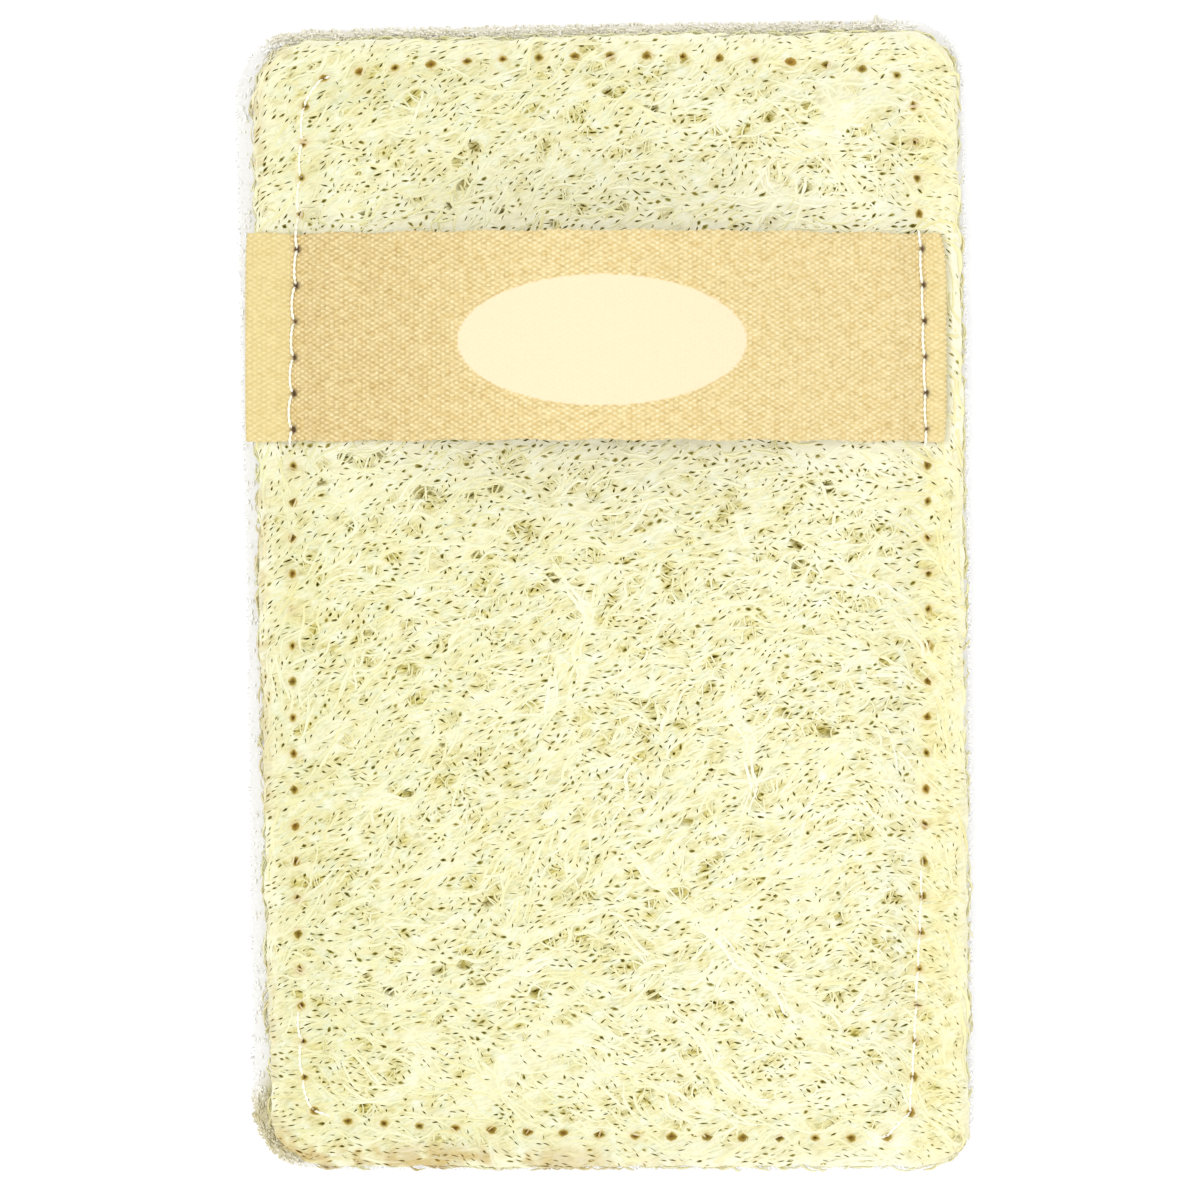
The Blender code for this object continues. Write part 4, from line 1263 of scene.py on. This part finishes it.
def make_band():
    """The hand band, and its length along the curve: its underside's curve swept across, with a plain weave.

    Crossings lie WEFT_PITCH apart along the curve and WARP_PITCH across. With u and v the phases of both, the
    top is 1 mm above the underside's curve plus 0.09 |cos u| + 0.11 cos u cos v - 0.18, and the underside has
    shallower relief. Both faces draw together at the edges and ends. The long edges wave by up to 0.19 mm,
    the outer corners are pulled in, and the top sinks by up to 0.4 mm at the needle holes."""
    fine = np.linspace(STRAP_LEFT, STRAP_RIGHT, 2000)
    steps = np.hypot(np.diff(fine), np.diff(strap_underside(fine)))
    reached = np.concatenate([[0], np.cumsum(steps)])
    length = reached[-1]
    columns = int(round(length / WEFT_PITCH)) * 2 + 1
    rows = int(round((STRAP_TOP - STRAP_BOTTOM) / WARP_PITCH)) * 2 + 1
    arc, y = np.meshgrid(np.linspace(0, length, columns), np.linspace(STRAP_BOTTOM, STRAP_TOP, rows))
    x = np.interp(arc, reached, fine)
    slope = np.gradient(strap_underside(x[0]), x[0])
    up = np.column_stack([-slope, np.zeros_like(slope), np.ones_like(slope)])
    up /= np.linalg.norm(up, axis=1)[:, None]
    weft = math.pi * arc / (length / ((columns - 1) / 2))
    warp = math.pi * (y - STRAP_BOTTOM) / ((STRAP_TOP - STRAP_BOTTOM) / ((rows - 1) / 2))
    cross = np.cos(weft) * np.cos(warp)
    rib = np.abs(np.cos(weft))
    edge = np.minimum(y - STRAP_BOTTOM, STRAP_TOP - y)
    end = np.minimum(arc, length - arc)
    thin = 0.5 * np.exp(-edge / 0.25) + 0.35 * np.exp(-end / 0.3)
    sag = stain_at(x.ravel(), y.ravel(), 0.52).reshape(y.shape)
    top_relief = 0.09 * rib + 0.11 * cross - 0.18 - thin * 0.5 - 0.4 * sag
    low_relief = -0.06 * rib + 0.07 * cross + 0.12 + thin * 0.5
    half = np.sign(y - BAND_MIDDLE)
    wave = 0.12 * np.sin(arc / 1.7) * np.exp(-edge / 0.5) * half
    wave = wave + 0.07 * np.sin(2 * math.pi * arc / 1.28) * np.exp(-edge / 0.3) * half
    pull = np.where(y > BAND_MIDDLE, 1.0, 0.35) * np.exp(-end / 1.6) * np.exp(-edge / 2.2) * 0.9
    faces_of_cloth = []
    for relief in (STRAP_THICK + top_relief, low_relief):
        face = np.stack([x, y, strap_underside(x)], axis=2) + up[None] * relief[..., None]
        face[..., 1] += wave
        face[..., 0] += np.where(x > 0, -pull, pull * 0.3)
        faces_of_cloth.append(face)
    top, low = faces_of_cloth
    points = np.vstack([top.reshape(-1, 3), low[::2, ::2].reshape(-1, 3)])
    size = rows * columns
    low_rows, low_columns = (rows + 1) // 2, (columns + 1) // 2
    rim = rim_of(columns, rows)
    low_rim = size + rim_of(low_columns, low_rows)
    even, odd = rim[::2], rim[1::2]
    after, low_after = np.roll(even, -1), np.roll(low_rim, -1)
    faces = np.concatenate(
        [
            grid_faces(columns, rows, True),
            size + grid_faces(low_columns, low_rows)[:, ::-1],
            np.column_stack([even, low_rim, odd]),
            np.column_stack([low_rim, low_after, odd]),
            np.column_stack([odd, low_after, after]),
        ]
    )
    draw = np.random.default_rng(SEED + 50)
    # painted light and shade on the weave: the nub value is pale on the raised crossings and dark between
    # them, with random tone; painted shade also darkens it towards the left end
    nub = np.clip(0.36 + 0.42 * np.maximum(cross, 0) - 0.16 * np.maximum(-cross, 0) + 0.1 * rib, 0, 1)
    nub = nub + draw.normal(0, 0.10, cross.shape) - 0.13 * smooth_step((-5 - x) / 30)
    # painted light: yellower outside the seams, where the band tilts to the lamps
    outside = smooth_step((-43.3 - x) / 0.6) + smooth_step((x - 43.6) / 2.0) * 0.5
    inside_oval = 1 - ((x - OVAL[0]) / OVAL[2]) ** 2 - ((y - OVAL[1]) / OVAL[3]) ** 2
    values = {}
    for key, value, below in (
        ("nub", np.clip(nub, 0, 1), 1),
        ("outer", 0.45 * outside, 1),
        ("oval", 0.93 * smooth_step(inside_oval / 0.012 + 0.5), 0),
        ("stain", np.minimum(sag * 1.8, 0.95), 0),
    ):
        values[key] = np.concatenate([value.ravel(), below * value[::2, ::2].ravel()])
    cloth = np.stack([arc, y], axis=2) * MM * 10
    uv = np.vstack([cloth.reshape(-1, 2), cloth[::2, ::2].reshape(-1, 2) - (0, 0.4)])
    band = make_piece("canvas_band", points, faces, canvas_material(), ["hand_strap"], values, uv)
    return band, length


def thread_material():
    """Two-ply cotton sewing thread: near white, matt and a little fuzzy. The twist is in the mesh.

    The fuzz, finer than 0.1 mm in the real one, is drawn 0.7 mm apart, so that it shows."""
    material, tree, shader, place, _ = new_material("cotton_sewing_thread", 0.7, sheen=0.3)
    fuzz = add_node(tree, "TexNoise", Vector=place, Scale=1.5 / MM, Detail=2.0).outputs[0]
    stops = [(0.3, "F1EBD2"), (0.65, "FFFDF2")]
    colour = add_node(tree, "ValToRGB", {"stops": stops}, Fac=fuzz).outputs[0]
    surface(tree, shader, colour, fuzz, 0.3, 0.06)
    return material


PLY_OFFSET = 0.10
PLY_RADIUS = 0.13
TWIST_LENGTH = 1.7


def make_thread(name, node, bed, lock, material):
    """Two twisted plies along the seam, down at each needle hole, with a turn in each TWIST_LENGTH.

    Between two holes the height is lock + (bed - lock) (1 - |2 t - 1|^12)^0.5. Down the pad's sides each
    stitch also bows towards -x by up to 0.66 (sin(pi t))^0.4 mm on the left and half of that on the right."""
    samples = 18
    sides = 5
    t = (1 - np.cos(math.pi * (np.arange(samples) + 0.5) / samples)) / 2
    after = np.roll(STATIONS, -1, axis=0)
    place = STATIONS[:, None] + (after - STATIONS)[:, None] * t[None, :, None]
    place = place.reshape(-1, 2)
    ahead = np.repeat(np.roll(STATIONS, -1, axis=0) - STATIONS, samples, axis=0)
    ahead /= np.linalg.norm(ahead, axis=1)[:, None]
    outward = np.column_stack([ahead[:, 1], -ahead[:, 0]])
    draw = np.random.default_rng(SEED + 60)
    shift = np.repeat(draw.uniform(0.8, 1.2, STITCHES), samples)
    shift = shift * np.tile(np.sin(math.pi * t), STITCHES) ** 0.4
    shift = shift * np.abs(ahead[:, 1]) * np.where(place[:, 0] < 0, 0.55, 0.28)
    place = place - np.column_stack([shift, 0 * shift])
    rise = np.sqrt(1 - np.abs(2 * np.tile(t, STITCHES) - 1) ** 12)
    z = lock + (bed(place[:, 0], place[:, 1]) - lock) * rise
    line = np.column_stack([place, z])
    step = np.linalg.norm(np.roll(line, -1, axis=0) - line, axis=1)
    reached = np.concatenate([[0], np.cumsum(step)[:-1]])
    turns = round((reached[-1] + step[-1]) / TWIST_LENGTH)
    tangent = np.roll(line, -1, axis=0) - np.roll(line, 1, axis=0)
    tangent /= np.linalg.norm(tangent, axis=1)[:, None]
    side = np.column_stack([outward, np.zeros(len(line))])
    side -= (side * tangent).sum(1)[:, None] * tangent
    side /= np.linalg.norm(side, axis=1)[:, None]
    up = np.cross(tangent, side)
    corner = np.arange(sides) * 2 * math.pi / sides
    points = []
    faces = []
    count = len(line)
    ring, index = np.meshgrid(np.arange(count), np.arange(sides), indexing="ij")
    here = (ring * sides + index).ravel()
    beside = (ring * sides + (index + 1) % sides).ravel()
    over = (((ring + 1) % count) * sides + index).ravel()
    across = (((ring + 1) % count) * sides + (index + 1) % sides).ravel()
    one = np.concatenate([np.column_stack([here, beside, over]), np.column_stack([beside, across, over])])
    for ply in (0, 1):
        angle = 2 * math.pi * turns * reached / (reached[-1] + step[-1]) + math.pi * ply
        middle = line + PLY_OFFSET * (np.cos(angle)[:, None] * side + np.sin(angle)[:, None] * up)
        body = (
            middle[:, None]
            + PLY_RADIUS * np.cos(corner)[None, :, None] * side[:, None]
            + PLY_RADIUS * np.sin(corner)[None, :, None] * up[:, None]
        )
        points.append(body.reshape(-1, 3))
        faces.append(one + ply * count * sides)
    return make_piece(name, np.vstack(points), np.vstack(faces), material, [node])


def needle_bed(x, y):
    """Where the needle thread lies: on the canvas over the band, on the felt down parts of both sides, and
    sunk 0.9 mm into it elsewhere."""
    over = (y > STRAP_BOTTOM - 0.3) & (y < STRAP_TOP + 0.3) & (x > STRAP_LEFT) & (x < STRAP_RIGHT)
    seen = (x < -38) & ((y > 44) | (y < -58)) | (x > 38) & (y < -38)
    sunk = felt_level(x, y, 0.0) + np.where(seen, 0.03, -0.9)
    return np.where(over, strap_underside(x) + STRAP_THICK + 0.12, sunk)


def towelling_material():
    """White cotton terry: soft matt loops, with painted shade between them and on parts of the rim.

    The fuzz of the yarn, finer than 0.1 mm in the real one, is drawn 0.6 mm apart, so that it shows."""
    material, tree, shader, place, read = new_material(
        "white_cotton_terry", 0.95, sheen=0.5, reads=("pile", "soil")
    )
    # painted shade: greyer where the pile value is low, between the rows of loops and at the roots of the rim
    # loops
    stops = [(0.0, "E2E0DA"), (0.5, "F6F5F1"), (1.0, "FFFFFF")]
    colour = add_node(tree, "ValToRGB", {"stops": stops}, Fac=read["pile"]).outputs[0]
    fuzz = add_node(tree, "TexNoise", Vector=place, Scale=1.8 / MM, Detail=3.0).outputs[0]
    stops = [(0.3, "F8F7F3"), (0.6, "FFFFFF")]
    tone = add_node(tree, "ValToRGB", {"stops": stops}, Fac=fuzz).outputs[0]
    colour = add_node(tree, "Mix", MULTIPLY, i0=0.8, i6=colour, i7=tone).outputs[2]
    # painted shade: the terry's rim greys towards D0C79C along the top edge and at the bottom left corner
    colour = add_node(tree, "Mix", BLEND, i0=read["soil"], i6=colour, i7=to_linear("D0C79C")).outputs[2]
    surface(tree, shader, colour, fuzz, 0.25, 0.2)
    return material


def rim_shade_at(x, y):
    """Painted shade that greys the towelling's rim: 0.5 along the top edge and up to 0.95 at the bottom
    left corner.
    """
    top = smooth_step((y - 76.0) / 1.5) * smooth_step((46 - x) / 10)
    corner = smooth_step(1.6 - np.hypot(x + 46.5, y + 75.0) / 5)
    return np.maximum(0.5 * top, 0.95 * corner)


def towel_loop():
    """Outline of the towelling, stretched a hair to the pad's width and length."""
    loop = spaced(rounded_path(TOWEL_CORNERS), 520)[0]
    low = loop.min(axis=0)
    high = loop.max(axis=0)
    return (loop - (low + high) / 2) / (high - low) * np.array([PAD_WIDTH, PAD_LENGTH])


def make_towelling(material):
    """The ground cloth: a slab whose underside carries rows of pile and the groove of the seam.

    Underside height = 0.5 (1 - pile) + groove + 0.75 exp(-rim / 0.7), with rim the distance from the outline
    and pile = |cos(pi x / 1.7) cos(pi y / 1.3)|^0.5 (0.8 + 0.25 noise), its rows jittered by noise."""
    loop = inset_loop(towel_loop(), 0.4)
    flat = patch_grid(loop, corner_marks(TOWEL_CORNERS), 148, 230)
    along, across = flat.shape[:2]
    x, y = flat[..., 0].ravel(), flat[..., 1].ravel()
    row_x = x + 0.35 * SMALL_NOISE.at(x, y)
    row_y = y + 0.35 * SMALL_NOISE.at(-x, y)
    pile = np.sqrt(np.abs(np.cos(math.pi * row_x / 1.7) * np.cos(math.pi * row_y / 1.3)) + 1e-3)
    pile = np.clip(pile * (0.8 + 0.25 * FINE_NOISE.at(x, y)), 0, 1)
    groove = TOWEL_GROOVE * (1 - smooth_step(np.abs(SEAM_DEPTH.at(x, y)) / GROOVE_HALF_WIDTH))
    curl = 0.75 * np.exp(-distance_to(np.column_stack([x, y]), loop) / 0.7)
    under = np.column_stack([x, y, 0.5 * (1 - pile) + groove + curl])
    rim = rim_of(across, along)
    level = LOOFAH_BOTTOM - 0.02
    top = under[rim] * (1, 1, 0) + (0, 0, level)
    points, faces = closed_below(under, grid_faces(across, along), rim, top, (0, 0, level))
    values = {
        "pile": np.concatenate([pile, np.full(len(points) - len(pile), 0.6)]),
        "soil": rim_shade_at(points[:, 0], points[:, 1]) * (points[:, 2] > 2),
    }
    faces = faces[:, ::-1]
    return make_piece("towelling_ground", points, faces, material, ["towel_back"], values)


def make_rim_loops(material):
    """Pile loops on the towelling's rim: arcs out of its side, and arcs up from what shows of its top.

    p = b + L sin(pi t) o + w (t - 0.5) a with t from 0 to 1, o outward and a ahead along the rim. The first
    2501 start at the side. The others start on the top where the loofah leaves it bare, most of them where
    shade is painted on it, and rise by 0.5 L sin(pi t). A tuft stands out near the top right corner."""
    draw = np.random.default_rng(SEED + 70)
    count = 4800
    around = 4000
    dense, ahead = spaced(towel_loop(), around)
    upper = np.arange(count) > 2500
    index = draw.integers(0, around, count)
    shown = distance_to(dense, LOOFAH_LOOP) < -0.9
    shown &= (rim_shade_at(*dense.T) > 0.1) | (draw.uniform(0, 1, around) < 0.12)
    shown = np.flatnonzero(shown)
    index = np.where(upper, shown[draw.integers(0, len(shown), count)], index)
    start, ahead = dense[index], ahead[index]
    upper = upper[:, None]
    level = np.where(upper, 2.5, draw.uniform(0.35, 2.6, count)[:, None])
    inward = np.where(upper, draw.uniform(-0.25, 2.6, count)[:, None], 0)
    t = np.linspace(0, 1, 6)[None]
    reach = draw.uniform(0.55, 1.1, (count, 1))
    tuft = np.exp(-((np.hypot(*(start - TUFT).T) / 0.6) ** 2))
    reach = reach * (1 + 1.3 * tuft[:, None])
    lean = np.where(upper, draw.uniform(-0.5, 0.5, (count, 1)), 1.0)
    width = draw.uniform(-0.9, 0.9, (count, 1))
    tilt = draw.uniform(-0.9, 0.9, (count, 1)) * ~upper
    bulge = 1 - 0.3 * np.abs(level - 1.4)
    along = width * (t - 0.5) + 0.12 * np.sin(2 * math.pi * t)
    out = reach * bulge * lean * np.sin(math.pi * t) - 0.75 - inward
    x = start[:, :1] + ahead[:, 1:] * out + ahead[:, :1] * along
    y = start[:, 1:] - ahead[:, :1] * out + ahead[:, 1:] * along
    z = level + tilt * (t - 0.5) + np.where(upper, 0.5 * reach, 0) * np.sin(math.pi * t)
    free = distance_to(np.column_stack([x.ravel(), y.ravel()]), LOOFAH_LOOP).reshape(x.shape) < 0.1
    path = np.stack([x, y, np.clip(z, 0.15, np.where(free, 3.1, 2.6))], axis=2)
    half = draw.uniform(0.12, 0.2, (count, 1)) + 0 * t
    lift = np.column_stack([0.4 * ahead, np.ones(count)])[:, None]
    values = {
        # painted shade: the loops are greyer at their roots
        "pile": np.sin(math.pi * t) * 0.5 + 0.5,
        "soil": rim_shade_at(x, y) * draw.uniform(0.5, 1.2, (count, 1)),
    }
    return make_strands(
        "towelling_rim_loops", path, (half, half), 3, material, values, "towel_back", lift
    )


def make_floor():
    """A plain white sweep of studio paper, 5 m square, 0.2 mm under the pad."""
    material = bpy.data.materials.new("white_studio_paper")
    material.use_nodes = True
    shader = material.node_tree.nodes["Principled BSDF"]
    shader.inputs["Base Color"].default_value = to_linear("FFFFFF")
    shader.inputs["Roughness"].default_value = 0.9
    shader.inputs["Specular IOR Level"].default_value = 0.35
    mesh = bpy.data.meshes.new("floor")
    half = 2.5
    low = -0.2 * MM
    corners = [(-half, -half, low), (half, -half, low), (half, half, low), (-half, half, low)]
    mesh.from_pydata(corners, [], [(0, 1, 2, 3)])
    mesh.materials.append(material)
    floor = bpy.data.objects.new("floor", mesh)
    bpy.context.collection.objects.link(floor)


# Square soft lights that face the pad: name, place in metres, side in metres, power in watts
LIGHTS = (
    ("key", (-0.55, 0.06, 1.0), 0.5, 3.6),
    ("fill", (0.6, 0.0, 0.9), 0.5, 2.0),
    ("low_front", (0.0, -0.9, 0.55), 0.6, 2.3),
    ("low_back", (0.0, 0.9, 0.55), 0.6, 1.2),
)
CAMERA_HEIGHT = 0.90
FACE_HEIGHT = 0.008
VIEW_WIDTH = 0.1661


def make_studio():
    """Camera straight above that takes in VIEW_WIDTH at the face's height, four soft lights and a white room.

    Both long sides of the band are lit alike, so that its arch throws little shade on the loofah."""
    scene = bpy.context.scene
    scene.view_settings.view_transform = "Standard"
    lens = bpy.data.cameras.new("camera")
    camera = bpy.data.objects.new("camera", lens)
    scene.collection.objects.link(camera)
    camera.location = (-0.00048, -0.00069, CAMERA_HEIGHT)
    lens.sensor_width = 36
    lens.lens = lens.sensor_width * (CAMERA_HEIGHT - FACE_HEIGHT) / VIEW_WIDTH
    lens.clip_start = 0.01
    scene.camera = camera
    world = bpy.data.worlds.new("studio")
    scene.world = world
    world.use_nodes = True
    world.node_tree.nodes["Background"].inputs[0].default_value = (1, 1, 1, 1)
    world.node_tree.nodes["Background"].inputs[1].default_value = 0.80
    for name, (x, y, z), size, power in LIGHTS:
        light = bpy.data.lights.new(name, "AREA")
        light.energy = power
        light.size = size
        lamp = bpy.data.objects.new(name, light)
        bpy.context.collection.objects.link(lamp)
        lamp.location = (x, y, z)
        lamp.rotation_euler = (math.atan2(math.hypot(x, y), z), 0, math.atan2(x, -y))


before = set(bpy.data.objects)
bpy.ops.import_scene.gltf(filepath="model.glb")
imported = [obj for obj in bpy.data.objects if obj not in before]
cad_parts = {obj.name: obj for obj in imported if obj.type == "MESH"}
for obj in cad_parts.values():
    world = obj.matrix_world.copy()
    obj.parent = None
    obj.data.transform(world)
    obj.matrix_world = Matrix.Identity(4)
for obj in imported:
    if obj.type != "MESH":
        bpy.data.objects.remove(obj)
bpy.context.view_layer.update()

make_studio()
make_floor()
FIBRE = fibre_material()
net = make_net_sheet()
for layer in FIBRE_LAYERS:
    make_fibres(**layer)
make_veins()
make_cut_edge()

band, band_length = make_band()

THREAD = thread_material()
make_thread("needle_stitches", "needle_thread", needle_bed, STITCH_LOCK + 0.35, THREAD)
make_thread("bobbin_stitches", "bobbin_thread", lambda x, y: 0.42 + 0 * x, STITCH_LOCK - 0.35, THREAD)

TERRY = towelling_material()
towelling = make_towelling(TERRY)
loops = make_rim_loops(TERRY)
